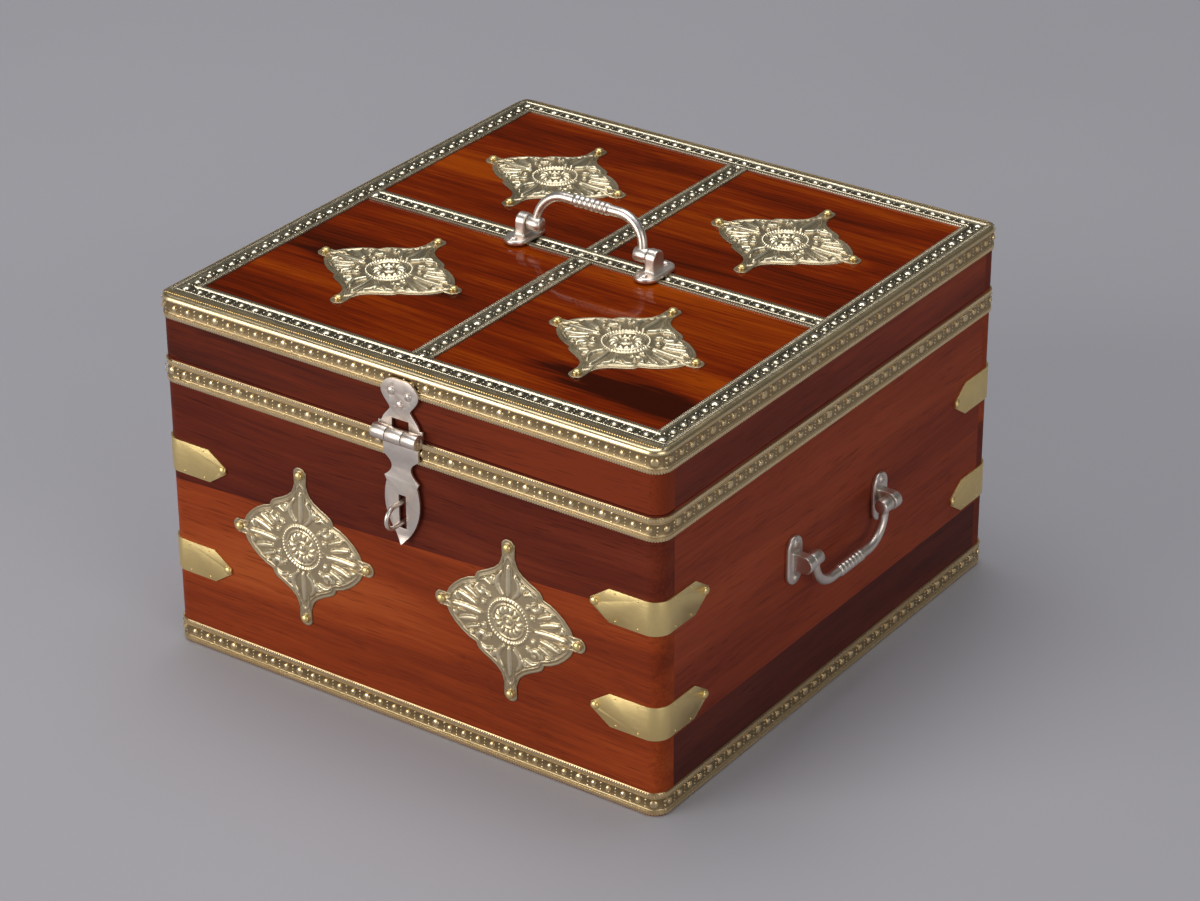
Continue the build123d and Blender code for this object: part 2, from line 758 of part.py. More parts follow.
def face_seat(face):
    """Seat whose normal is the bail's reach, for pieces placed along the pivot line."""
    return Plane(origin=face.origin, x_dir=face.x_dir, z_dir=face.y_dir)


tilt = radians(top_bail_tilt)
save(handle_posts(top_handle), "top_handle_posts")
save(handle_bail(top_handle, Vector(0, sin(tilt), cos(tilt))), "top_handle_bail")
for side_name, seat in side_handles.items():
    save(handle_posts(seat), f"{side_name}_handle_posts")
    save(handle_bail(seat, Vector(0, 0, -1)), f"{side_name}_handle_bail")

# Butt hinges: the case leaf has the two outer knuckles, the lid leaf the middle one
knuckle = (hinge_width - 2 * hinge_knuckle_gap) / 3
knuckle_shift = knuckle + hinge_knuckle_gap
hinge_knuckles = {"case": (-knuckle_shift, knuckle_shift), "lid": (0,)}
hinge_clear = hinge_barrel_radius + hinge_knuckle_gap
hinge_sides = {"left": -1, "right": 1}
screw_seats_of = {"case": hinge_case_seats, "lid": hinge_lid_seats}


def hinge_leaf_part(x_centre, owner):
    """Flat leaf with its knuckles rolled round the pin."""
    upward = 1 if owner == "lid" else -1
    across = Plane(origin=(x_centre, hinge_axis_y, gap_z), x_dir=(0, 1, 0), z_dir=(1, 0, 0))
    plate_y = -hinge_barrel_radius - hinge_wall_gap + hinge_leaf / 2
    plate_height = hinge_leaf_height - hinge_clear
    with BuildPart() as leaf:
        with BuildSketch(across.offset(-hinge_width / 2)):
            with Locations((plate_y, upward * (hinge_clear + plate_height / 2))):
                Rectangle(hinge_leaf, plate_height)
        extrude(amount=hinge_width)
        for shift in hinge_knuckles[owner]:
            with BuildSketch(across.offset(shift - knuckle / 2)):
                Circle(hinge_barrel_radius)
                with Locations((plate_y + hinge_wall_gap, upward * hinge_clear / 2)):
                    Rectangle(hinge_leaf, hinge_clear)
                with Locations((plate_y, upward * (hinge_clear - hinge_leaf / 2))):
                    Rectangle(hinge_leaf, hinge_leaf)
            extrude(amount=knuckle)
        with BuildSketch(across):
            Circle(hinge_pin_radius + running_clearance)
        extrude(amount=hinge_width, both=True, mode=Mode.SUBTRACT)
        cut_shanks([seat.offset(-strip_thickness) for seat in screw_seats_of[owner]],
                   screw_shank_radius, screw_length)
    return leaf.part


for side_name, side in hinge_sides.items():
    for owner in hinge_knuckles:
        save(hinge_leaf_part(side * hinge_x, owner), f"{side_name}_hinge_{owner}_leaf")

with BuildPart() as hinge_pins:
    for side in hinge_sides.values():
        start = side * hinge_x - hinge_width / 2
        with BuildSketch(Plane(origin=(start, hinge_axis_y, gap_z), x_dir=(0, 1, 0), z_dir=(1, 0, 0))):
            Circle(hinge_pin_radius)
        extrude(amount=hinge_width)
save(hinge_pins.part, "hinge_pins")
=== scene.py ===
import logging
import random
from contextlib import contextmanager
from dataclasses import dataclass, field
from enum import Enum
from itertools import product
from math import cos, hypot, pi, radians, sin, tau
from typing import Any, Iterable, Iterator, Sequence

import bmesh
import bpy
import numpy as np
from mathutils import Matrix, Vector


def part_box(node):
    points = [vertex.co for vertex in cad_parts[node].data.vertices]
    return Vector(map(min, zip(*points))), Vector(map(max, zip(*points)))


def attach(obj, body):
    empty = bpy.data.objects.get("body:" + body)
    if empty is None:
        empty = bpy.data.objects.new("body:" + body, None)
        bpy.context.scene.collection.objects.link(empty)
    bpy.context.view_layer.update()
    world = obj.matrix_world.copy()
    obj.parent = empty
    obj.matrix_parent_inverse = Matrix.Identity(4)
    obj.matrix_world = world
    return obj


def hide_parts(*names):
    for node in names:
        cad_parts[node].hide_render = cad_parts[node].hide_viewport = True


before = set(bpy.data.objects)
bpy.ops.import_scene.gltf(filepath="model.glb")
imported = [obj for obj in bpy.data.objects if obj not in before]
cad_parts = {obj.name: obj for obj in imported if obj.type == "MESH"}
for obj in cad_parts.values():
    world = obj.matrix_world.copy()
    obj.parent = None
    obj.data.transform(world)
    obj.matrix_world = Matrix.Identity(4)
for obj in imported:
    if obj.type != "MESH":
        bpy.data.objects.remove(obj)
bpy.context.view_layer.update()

MM = 0.001
PATH = "row"
OUT = "out"
ALONG = "along"
SIZE = "size"
HOLLOW_SHADE_MASK = "relief"
TICK_ROW = 1
DOME_ROW = 2
MERGE_DISTANCE = 0.002 * MM
FLAT_ANGLE = radians(0.6)
UP = Vector((0, 0, 1))
WANDER_STRETCH = (0.35, 1, 1)
WANDER_REACH = (0.0, 0.020, 0.020)
FIGURE_STRETCH = (0.11, 1, 1)
RING_STRETCH = (0.22, 1, 1)
RING_CENTRE = (0, 0.055, 0.031)
FIBRE_STRETCH = (14, 620, 620)
PORE_STRETCH = (45, 1500, 1500)
PATCH_STRETCH = (0.12, 1, 1)
SCRATCH_TURN = (0.4, 0.3, 0.7)
SCRATCH_STRETCH = (60, 2200, 2200)
OFFSET_STEP = (0.731, 0.413, 0.297)
AIM = Vector((0, 0, 0.1))
TINY = 1e-9
STRIP_SMOOTH = 28
HEAD_SMOOTH = 35
EASED_SMOOTH = 40
WIRE_SMOOTH = 50
PLAQUE_SMOOTH = 60
Colour = tuple[float, float, float]
Place = tuple[float, float, float]
Socket = bpy.types.NodeSocket
Material = bpy.types.Material
Mesh = bpy.types.Mesh
Piece = bpy.types.Object
Row = tuple[int, float, float]
Seat = tuple[Vector, Vector]
log = logging.getLogger("storage_box")


class Body(Enum):
    """Bodies that a piece can ride on."""

    CASE = "case"
    LID = "lid"
    BLADE = "hasp_blade"
    TOP_BAIL = "top_bail"
    RIGHT_BAIL = "right_bail"
    LEFT_BAIL = "left_bail"


class Slot(Enum):
    """Names of the metal finishes, passed with each piece; nothing reads them."""

    EMBOSSED = "embossed_brass"
    BRASS = "plain_brass"
    BRIGHT = "bright_metal"


class Grain(Enum):
    """Direction of a board's length, as the turn that brings it onto the pattern's own."""

    ALONG_X = 0.0
    ALONG_Y = -pi / 2


class Head(Enum):
    """Kinds of fastener head."""

    DOME = 0
    SLOTTED = 1


class Sheet:
    """Adds nodes to one tree and links them."""

    def __init__(self, tree: bpy.types.NodeTree) -> None:
        """Keep the tree.

        Args:
            tree: the node tree that is being built.
        """
        self.tree = tree

    def node(self, kind: str, inputs: dict[Any, Any] | None = None, **settings: Any) -> bpy.types.Node:
        """Add one node.

        Args:
            kind: type name of the node.
            inputs: socket name or number, and the value or the socket that feeds it.
            **settings: properties of the node itself.

        Returns:
            The new node.
        """
        made = self.tree.nodes.new(kind)
        for key, value in settings.items():
            setattr(made, key, value)
        self.feed(made, inputs or {})
        return made

    def feed(self, node: bpy.types.Node, inputs: dict[Any, Any]) -> None:
        """Link or set the inputs of a node.

        Args:
            node: the node.
            inputs: socket name or number, and the value or the socket that feeds it.
        """
        for key, value in inputs.items():
            if isinstance(value, Socket):
                self.tree.links.new(value, node.inputs[key])
            else:
                node.inputs[key].default_value = value

    def join(self, *shapes: Socket) -> Socket:
        """Join shapes into one.

        Args:
            *shapes: the shapes.

        Returns:
            The joined shape.
        """
        made = self.node("GeometryNodeJoinGeometry")
        for shape in shapes:
            self.tree.links.new(shape, made.inputs[0])
        return made.outputs[0]

    def triple(self, *parts: Any) -> Socket:
        """Combine numbers into a vector."""
        return self.node("ShaderNodeCombineXYZ", dict(enumerate(parts))).outputs[0]

    def attribute(self, name: str, kind: str) -> Socket:
        """Read an attribute of the points."""
        return self.node("GeometryNodeInputNamedAttribute", {"Name": name}, data_type=kind).outputs[0]

    def moved(self, shape: Socket, **inputs: Any) -> Socket:
        """Move, turn or scale a shape."""
        wanted = {"Geometry": shape, **{key.capitalize(): value for key, value in inputs.items()}}
        return self.node("GeometryNodeTransform", wanted).outputs[0]

    def realized(self, shape: Socket, material: Socket) -> Socket:
        """Realize the instances of a shape and set its material."""
        real = self.node("GeometryNodeRealizeInstances", {0: shape}).outputs[0]
        return self.node("GeometryNodeSetMaterial", {"Geometry": real, "Material": material}).outputs[0]

    def math(self, operation: str, *values: Any) -> Socket:
        """Add a Math node and return its result."""
        return self.node("ShaderNodeMath", dict(enumerate(values)), operation=operation).outputs[0]

    def vector(self, operation: str, *values: Any) -> Socket:
        """Add a Vector Math node and return its vector."""
        return self.node("ShaderNodeVectorMath", dict(enumerate(values)), operation=operation).outputs[0]

    def noise(self, where: Any, scale: float, detail: float = 2.0, rough: float = 0.5) -> Socket:
        """Add a Noise Texture and return its value."""
        wanted = {"Vector": where, "Scale": scale, "Detail": detail, "Roughness": rough}
        return self.node("ShaderNodeTexNoise", wanted).outputs[0]

    def span(self, value: Any, low: float, high: float,
             new_low: float = 0.0, new_high: float = 1.0) -> Socket:
        """Add a clamped Map Range and return its result."""
        wanted = {"Value": value, "From Min": low, "From Max": high, "To Min": new_low, "To Max": new_high}
        return self.node("ShaderNodeMapRange", wanted).outputs[0]

    def mix(self, factor: Any, first: Any, second: Any) -> Socket:
        """Add a colour Mix and return its result."""
        return self.node("ShaderNodeMix", {0: factor, 6: first, 7: second}, data_type="RGBA").outputs[2]

    def ramp(self, value: Any, stops: Sequence[tuple[float, Colour]]) -> Socket:
        """Add a Color Ramp and return its colour.

        Args:
            value: what drives it.
            stops: position and colour of each stop, lowest first.

        Returns:
            The colour socket.
        """
        made = self.node("ShaderNodeValToRGB", {0: value})
        elements = made.color_ramp.elements
        while len(elements) < len(stops):
            elements.new(1.0)
        for element, (position, colour) in zip(elements, stops):
            element.position = position
            element.color = (*colour, 1.0)
        return made.outputs[0]


def new_group(name: str, kind: str, inputs: dict[str, str],
              outputs: dict[str, str]) -> tuple[Sheet, Any, Any]:
    """Start a node group.

    Args:
        name: name of the group.
        kind: type of the tree.
        inputs: name and socket type of each input.
        outputs: name and socket type of each output.

    Returns:
        The sheet, the Group Input node and the Group Output node.
    """
    tree = bpy.data.node_groups.new(name, kind)
    for sockets, way in ((inputs, "INPUT"), (outputs, "OUTPUT")):
        for label, socket in sockets.items():
            tree.interface.new_socket(name=label, in_out=way, socket_type=socket)
    sheet = Sheet(tree)
    return sheet, sheet.node("NodeGroupInput"), sheet.node("NodeGroupOutput")


def build_wood_group() -> bpy.types.NodeTree:
    """Build the group that gives wood its growth rings, fibres and pores.

    Returns:
        The group, whose outputs are masks from 0 to 1.
    """
    sheet, start, end = new_group(
        "Wood figure", "ShaderNodeTree",
        {"Vector": "NodeSocketVector", "Offset": "NodeSocketVector"},
        {name: "NodeSocketFloat" for name in ("Figure", "Rings", "Fibre", "Pore", "Height")})
    moved = sheet.vector("ADD", start.outputs["Vector"], start.outputs["Offset"])
    wobble = sheet.node("ShaderNodeTexNoise", {
        "Vector": sheet.vector("MULTIPLY", moved, WANDER_STRETCH), "Scale": 11.0, "Detail": 2.0})
    wander = sheet.vector("SUBTRACT", wobble.outputs["Color"], (0.5, 0.5, 0.5))
    bent = sheet.vector("ADD", moved, sheet.vector("MULTIPLY", wander, WANDER_REACH))
    figure = sheet.noise(sheet.vector("MULTIPLY", bent, FIGURE_STRETCH), 30.0, 3.0, 0.55)
    ring_place = sheet.vector("ADD", sheet.vector("MULTIPLY", bent, RING_STRETCH), RING_CENTRE)
    rings = sheet.node("ShaderNodeTexWave", {"Vector": ring_place, "Scale": 34.0, "Distortion": 3.2,
                                             "Detail": 2.0, "Detail Scale": 1.6},
                       wave_type="RINGS", rings_direction="X", wave_profile="SAW")
    fibre = sheet.noise(sheet.vector("MULTIPLY", bent, FIBRE_STRETCH), 1.0, 3.0, 0.6)
    pore = sheet.span(sheet.noise(sheet.vector("MULTIPLY", bent, PORE_STRETCH), 1.0, 1.0), 0.60, 0.70)
    height = sheet.math("SUBTRACT", sheet.math("MULTIPLY", fibre, 0.35), pore)
    sheet.feed(end, {"Figure": sheet.span(figure, 0.28, 0.72), "Rings": rings.outputs[0],
                     "Fibre": sheet.span(fibre, 0.3, 0.7), "Pore": pore, "Height": height})
    return sheet.tree


def build_wear_group() -> bpy.types.NodeTree:
    """Build the group that gives metal its smudges, scratches and small dents.

    Returns:
        The group, whose outputs are masks from 0 to 1.
    """
    sheet, start, end = new_group(
        "Metal wear", "ShaderNodeTree", {"Vector": "NodeSocketVector"},
        {name: "NodeSocketFloat" for name in ("Smudge", "Scratch", "Mottle", "Height")})
    where = start.outputs["Vector"]
    smudge = sheet.noise(where, 42.0, 4.0, 0.6)
    mottle = sheet.noise(where, 420.0, 3.0, 0.6)
    hair = sheet.node("ShaderNodeMapping", {"Vector": where, "Rotation": SCRATCH_TURN,
                                            "Scale": SCRATCH_STRETCH}).outputs[0]
    scratch = sheet.span(sheet.noise(hair, 1.0, 1.0), 0.60, 0.72)
    height = sheet.math("SUBTRACT", sheet.noise(where, 150.0, 2.0), sheet.math("MULTIPLY", scratch, 0.1))
    sheet.feed(end, {"Smudge": sheet.span(smudge, 0.35, 0.68), "Scratch": scratch,
                     "Mottle": sheet.span(mottle, 0.3, 0.7), "Height": height})
    return sheet.tree


WOOD_GROUP = build_wood_group()
WEAR_GROUP = build_wear_group()


def new_material(name: str) -> tuple[Material, Sheet, bpy.types.Node]:
    """Start a material.

    Args:
        name: name of the material.

    Returns:
        The material, the sheet of its tree and its main shader.
    """
    material = bpy.data.materials.new(name)
    material.use_nodes = True
    sheet = Sheet(material.node_tree)
    return material, sheet, material.node_tree.nodes["Principled BSDF"]


@dataclass(frozen=True)
class Patch:
    """A flame of darker or lighter wood on a board."""

    place: tuple[float, float]
    half: tuple[float, float]
    strength: float

    def add(self, sheet: Sheet, where: Socket, tone: Socket) -> Socket:
        """Add the patch to a board's tone.

        Args:
            sheet: the sheet of the board's material.
            where: place on the board.
            tone: tone of the board so far.

        Returns:
            The new tone.
        """
        moved = sheet.vector("SUBTRACT", where, (*self.place, 0.0))
        local = sheet.vector("DIVIDE", moved, (*self.half, 9.0))
        length = sheet.node("ShaderNodeVectorMath", {0: local}, operation="LENGTH").outputs["Value"]
        ragged = sheet.noise(sheet.vector("MULTIPLY", where, PATCH_STRETCH), 110.0, 3.0, 0.6)
        mask = sheet.span(sheet.math("MULTIPLY_ADD", ragged, 1.3, length), 1.0, 1.7, 1.0, 0.0)
        return sheet.math("MULTIPLY_ADD", mask, self.strength, tone)


@dataclass(frozen=True)
class WoodFinish:
    """Lacquered wood of one board."""

    name: str
    dark: Colour
    middle: Colour
    light: Colour
    grain: Grain = Grain.ALONG_X
    offset: Place = (0.0, 0.0, 0.0)
    roughness: float = 0.5
    coat: float = 0.07
    coat_roughness: float = 0.13
    rings: float = 0.1
    fibre: float = 0.25
    pore_shade: float = 0.45
    pore_tone: float = 0.45
    specular: float = 0.05
    contrast: float = 1.15
    drift: float = 0.0
    patches: tuple[Patch, ...] = ()

    def build(self) -> Material:
        """Build the material.

        Returns:
            The finished material.
        """
        material, sheet, shader = new_material(self.name)
        place = sheet.node("ShaderNodeTexCoord").outputs["Object"]
        turned = sheet.node("ShaderNodeMapping", {"Vector": place, "Rotation": (0, 0, self.grain.value)})
        figure = sheet.node("ShaderNodeGroup", {"Vector": turned.outputs[0], "Offset": self.offset},
                            node_tree=WOOD_GROUP)
        tone = sheet.math("MULTIPLY", figure.outputs["Figure"], 1 - self.fibre - self.rings)
        tone = sheet.math("MULTIPLY_ADD", figure.outputs["Rings"], self.rings, tone)
        tone = sheet.math("MULTIPLY_ADD", figure.outputs["Fibre"], self.fibre, tone)
        tone = sheet.math("MULTIPLY_ADD", sheet.math("SUBTRACT", tone, 0.5), self.contrast, 0.5)
        if self.drift:
            across = sheet.node("ShaderNodeSeparateXYZ", {0: place}).outputs[0]
            tone = sheet.math("MULTIPLY_ADD", across, self.drift, tone)
        for patch in self.patches:
            tone = patch.add(sheet, place, tone)
        colour = sheet.ramp(tone, ((0.12, self.dark), (0.5, self.middle), (0.88, self.light)))
        shade = sheet.span(figure.outputs["Pore"], 0.0, 1.0, 0.0, self.pore_shade)
        colour = sheet.mix(shade, colour, (*(part * self.pore_tone for part in self.dark), 1.0))
        rough = sheet.math("MULTIPLY_ADD", figure.outputs["Fibre"], 0.12, self.roughness)
        bump = sheet.node("ShaderNodeBump", {"Height": figure.outputs["Height"], "Strength": 0.25,
                                             "Distance": 0.12 * MM})
        sheet.feed(shader, {"Base Color": colour, "Roughness": rough, "Normal": bump.outputs[0],
                            "Specular IOR Level": self.specular, "Coat Weight": self.coat,
                            "Coat Roughness": self.coat_roughness})
        return material


@dataclass(frozen=True)
class MetalFinish:
    """Brass or nickel, with painted shade that makes it darker in its hollows where it is embossed, and
    duller there.
    """

    name: str
    face: Colour
    tarnish: Colour
    roughness: float
    # hollow: colour of the painted shade in the embossed hollows
    hollow: Colour | None = None
    hollow_roughness: float = 0.05
    dents: float = 0.2
    smudges: float = 0.55
    mottle: float = 0.25
    unevenness: float = 0.12

    def build(self) -> Material:
        """Build the material.

        Returns:
            The finished material.
        """
        material, sheet, shader = new_material(self.name)
        place = sheet.node("ShaderNodeTexCoord").outputs["Object"]
        wear = sheet.node("ShaderNodeGroup", {"Vector": place}, node_tree=WEAR_GROUP)
        amount = sheet.math("MULTIPLY", wear.outputs["Smudge"], self.smudges)
        amount = sheet.math("MULTIPLY_ADD", wear.outputs["Mottle"], self.mottle, amount)
        colour = sheet.mix(amount, (*self.face, 1.0), (*self.tarnish, 1.0))
        rough = sheet.math("MULTIPLY_ADD", wear.outputs["Smudge"], self.unevenness, self.roughness)
        rough = sheet.math("MULTIPLY_ADD", wear.outputs["Scratch"], self.unevenness, rough)
        # Painted shade: the colour is mixed toward the hollow colour where the height mask is low, and
        # roughness rises there.
        if self.hollow:
            relief = sheet.node("ShaderNodeAttribute", attribute_name=HOLLOW_SHADE_MASK).outputs["Fac"]
            depth = sheet.span(relief, 0.15, 0.75, 1.0, 0.0)
            colour = sheet.mix(depth, colour, (*self.hollow, 1.0))
            rough = sheet.math("MULTIPLY_ADD", depth, self.hollow_roughness, rough)
        bump = sheet.node("ShaderNodeBump", {"Height": wear.outputs["Height"], "Distance": 0.6 * MM,
                                             "Strength": self.dents})
        sheet.feed(shader, {"Base Color": colour, "Roughness": rough, "Normal": bump.outputs[0],
                            "Metallic": 1.0})
        return material


EMBOSSED_DENTS = 0.08
# Strip brass whose hollow colour is painted shade.
STRIP_BRASS_PAINTED_SHADE = MetalFinish("embossed_strip_brass_painted_shade", (0.84, 0.68, 0.42), (0.70, 0.52, 0.27), 0.22,
                          (0.38, 0.275, 0.14), dents=EMBOSSED_DENTS)
# Lit copy of the strip brass for the lid: its paler face and tarnish are painted sky reflection, its darker
# hollow colour painted shade.
TOP_BRASS_PAINTED_REFLECTION = MetalFinish("embossed_top_brass_painted_reflection", (0.87, 0.78, 0.60), (0.62, 0.54, 0.39), 0.17,
                        (0.24, 0.205, 0.135), dents=EMBOSSED_DENTS)
# Plaque brass whose hollow colour is painted shade.
PLAQUE_BRASS_PAINTED_SHADE = MetalFinish("embossed_plaque_brass_painted_shade", (0.87, 0.76, 0.53), (0.72, 0.60, 0.38), 0.28,
                           (0.50, 0.40, 0.25), dents=EMBOSSED_DENTS)
PLAIN_BRASS = MetalFinish("plain_brass", (0.92, 0.71, 0.31), (0.80, 0.60, 0.26), 0.3)
NICKEL = MetalFinish("nickel", (0.82, 0.75, 0.68), (0.66, 0.55, 0.47), 0.3)


def new_object(name: str, mesh: Mesh) -> Piece:
    """Put a mesh in the scene.

    Args:
        name: name of the object.
        mesh: its mesh.

    Returns:
        The new object.
    """
    piece = bpy.data.objects.new(name, mesh)
    bpy.context.scene.collection.objects.link(piece)
    return piece


def mesh_from(name: str, points: Iterable[Sequence[float]], faces: Iterable[Sequence[int]],
              edges: Iterable[Sequence[int]] = ()) -> Mesh:
    """Make a mesh from points and faces.

    Args:
        name: name of the mesh.
        points: places, in metres.
        faces: numbers of the points round each face.
        edges: loose edges.

    Returns:
        The new mesh.
    """
    mesh = bpy.data.meshes.new(name)
    mesh.from_pydata([tuple(point) for point in points], list(edges), list(faces))
    return mesh


@contextmanager
def opened(mesh: Mesh) -> Iterator[bmesh.types.BMesh]:
    """Open a mesh for editing, and write it back at the end.

    Args:
        mesh: the mesh.

    Yields:
        The skin to edit.
    """
    skin = bmesh.new()
    skin.from_mesh(mesh)
    yield skin
    skin.to_mesh(mesh)
    skin.free()


def face_outward(mesh: Mesh) -> None:
    """Turn every face of a closed mesh outward."""
    with opened(mesh) as skin:
        bmesh.ops.recalc_face_normals(skin, faces=skin.faces)


def join_flat_faces(skin: bmesh.types.BMesh) -> None:
    """Join the triangles of every flat face."""
    bmesh.ops.dissolve_limit(skin, angle_limit=FLAT_ANGLE, verts=skin.verts, edges=skin.edges)


def bake(piece: Piece) -> None:
    """Turn a piece with modifiers into a plain mesh.

    Args:
        piece: the object to evaluate.
    """
    graph = bpy.context.evaluated_depsgraph_get()
    mesh = bpy.data.meshes.new_from_object(piece.evaluated_get(graph))
    piece.modifiers.clear()
    piece.data = mesh


def smooth_by_angle(piece: Piece, angle: float) -> None:
    """Shade a piece smooth except across edges sharper than an angle in degrees."""
    piece.data.polygons.foreach_set("use_smooth", [True] * len(piece.data.polygons))
    piece.data.set_sharp_from_angle(angle=radians(angle))


def dress(piece: Piece, material: Material) -> None:
    """Give a piece one material."""
    piece.data.materials.clear()
    piece.data.materials.append(material)


def finish_piece(piece: Piece, body: Body, slot: Slot, *nodes: str,
                 material: Material | None = None) -> None:
    """Give a piece its finish if one is given, attach it to its body and hide the nodes that it stands for.

    Args:
        piece: the finished object.
        body: what it rides on.
        slot: not used.
        *nodes: nodes of the model that it stands for.
        material: its finish, for a piece that has none yet.
    """
    if material:
        dress(piece, material)
    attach(piece, body.value)
    if nodes:
        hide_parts(*nodes)
    log.info("%s: %d faces on %s", piece.name, len(piece.data.polygons), body.value)


def merged_copy(node: str, name: str) -> Piece:
    """Copy a node of the model, with its loose triangles joined into one skin.

    Args:
        node: name of the node.
        name: name of the copy.

    Returns:
        The copy, with no material.
    """
    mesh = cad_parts[node].data.copy()
    mesh.name = name
    mesh.materials.clear()
    with opened(mesh) as skin:
        bmesh.ops.remove_doubles(skin, verts=skin.verts, dist=MERGE_DISTANCE)
        bmesh.ops.recalc_face_normals(skin, faces=skin.faces)
    if mesh.attributes.get("custom_normal"):
        mesh.attributes.remove(mesh.attributes["custom_normal"])
    return new_object(name, mesh)


def ease_edges(piece: Piece, width: float, angle: float) -> None:
    """Round a piece's sharp edges a little.

    Args:
        piece: the piece.
        width: width of the eased edge, in metres.
        angle: lowest angle of an edge that is eased, in degrees.
    """
    bevel = piece.modifiers.new("Eased edges", "BEVEL")
    bevel.width = width
    bevel.segments = 2
    bevel.limit_method = "ANGLE"
    bevel.angle_limit = radians(angle)
    bake(piece)
    smooth_by_angle(piece, EASED_SMOOTH)


def softened_copy(node: str, name: str, width: float) -> Piece:
    """Copy a node of the model and ease its sharp edges.

    Args:
        node: name of the node.
        name: name of the copy.
        width: width of the eased edge, in metres.

    Returns:
        The copy, as a plain mesh.
    """
    piece = merged_copy(node, name)
    with opened(piece.data) as skin:
        join_flat_faces(skin)
    ease_edges(piece, width, 35)
    return piece


def cast_copy(node: str, name: str, voxel: float = 0.4 * MM, rounds: int = 5) -> Piece:
    """Copy a node of the model as a casting, with every edge and joint softly rounded.

    Args:
        node: name of the node.
        name: name of the copy.
        voxel: size of the remeshed skin's cells, in metres.
        rounds: how often the skin is relaxed.

    Returns:
        The copy, as a plain mesh.
    """
    piece = merged_copy(node, name)
    remesh = piece.modifiers.new("Skin", "REMESH")
    remesh.mode = "VOXEL"
    remesh.voxel_size = voxel
    relax = piece.modifiers.new("Relax", "SMOOTH")
    relax.factor = 0.5
    relax.iterations = rounds
    bake(piece)
    piece.data.polygons.foreach_set("use_smooth", [True] * len(piece.data.polygons))
    return piece


def islands(node: str) -> list[Seat]:
    """Find the separate solids in a node of the model.

    Args:
        node: name of the node.

    Returns:
        Lowest and highest corner of each solid.
    """
    skin = bmesh.new()
    skin.from_mesh(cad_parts[node].data)
    bmesh.ops.remove_doubles(skin, verts=skin.verts, dist=MERGE_DISTANCE)
    left = set(skin.verts)
    found = []
    while left:
        stack = [left.pop()]
        members = []
        while stack:
            point = stack.pop()
            members.append(point.co.copy())
            for edge in point.link_edges:
                other = edge.other_vert(point)
                if other in left:
                    left.remove(other)
                    stack.append(other)
        low = Vector(map(min, *members))
        high = Vector(map(max, *members))
        found.append((low, high))
    skin.free()
    return sorted(found, key=lambda pair: tuple(round(part, 5) for part in pair[0]))


def add_point_attribute(mesh: Mesh, name: str, kind: str, values: Sequence[Any]) -> None:
    """Store one value for each point of a mesh.

    Args:
        mesh: the mesh.
        name: name of the attribute.
        kind: FLOAT, INT or FLOAT_VECTOR.
        values: one value for each point.
    """
    layer = mesh.attributes.new(name, kind, "POINT")
    key = "vector" if kind == "FLOAT_VECTOR" else "value"
    layer.data.foreach_set(key, np.asarray(values, dtype=float if kind != "INT" else int).ravel())


def set_inputs(modifier: bpy.types.Modifier, tree: bpy.types.NodeTree, values: dict[str, Any]) -> None:
    """Set a modifier's inputs by the identifier of each socket.

    Args:
        modifier: the Geometry Nodes modifier.
        tree: its tree.
        values: input name and value.
    """
    for item in tree.interface.items_tree:
        if item.item_type == "SOCKET" and item.in_out == "INPUT" and item.name in values:
            modifier[item.identifier] = values[item.name]


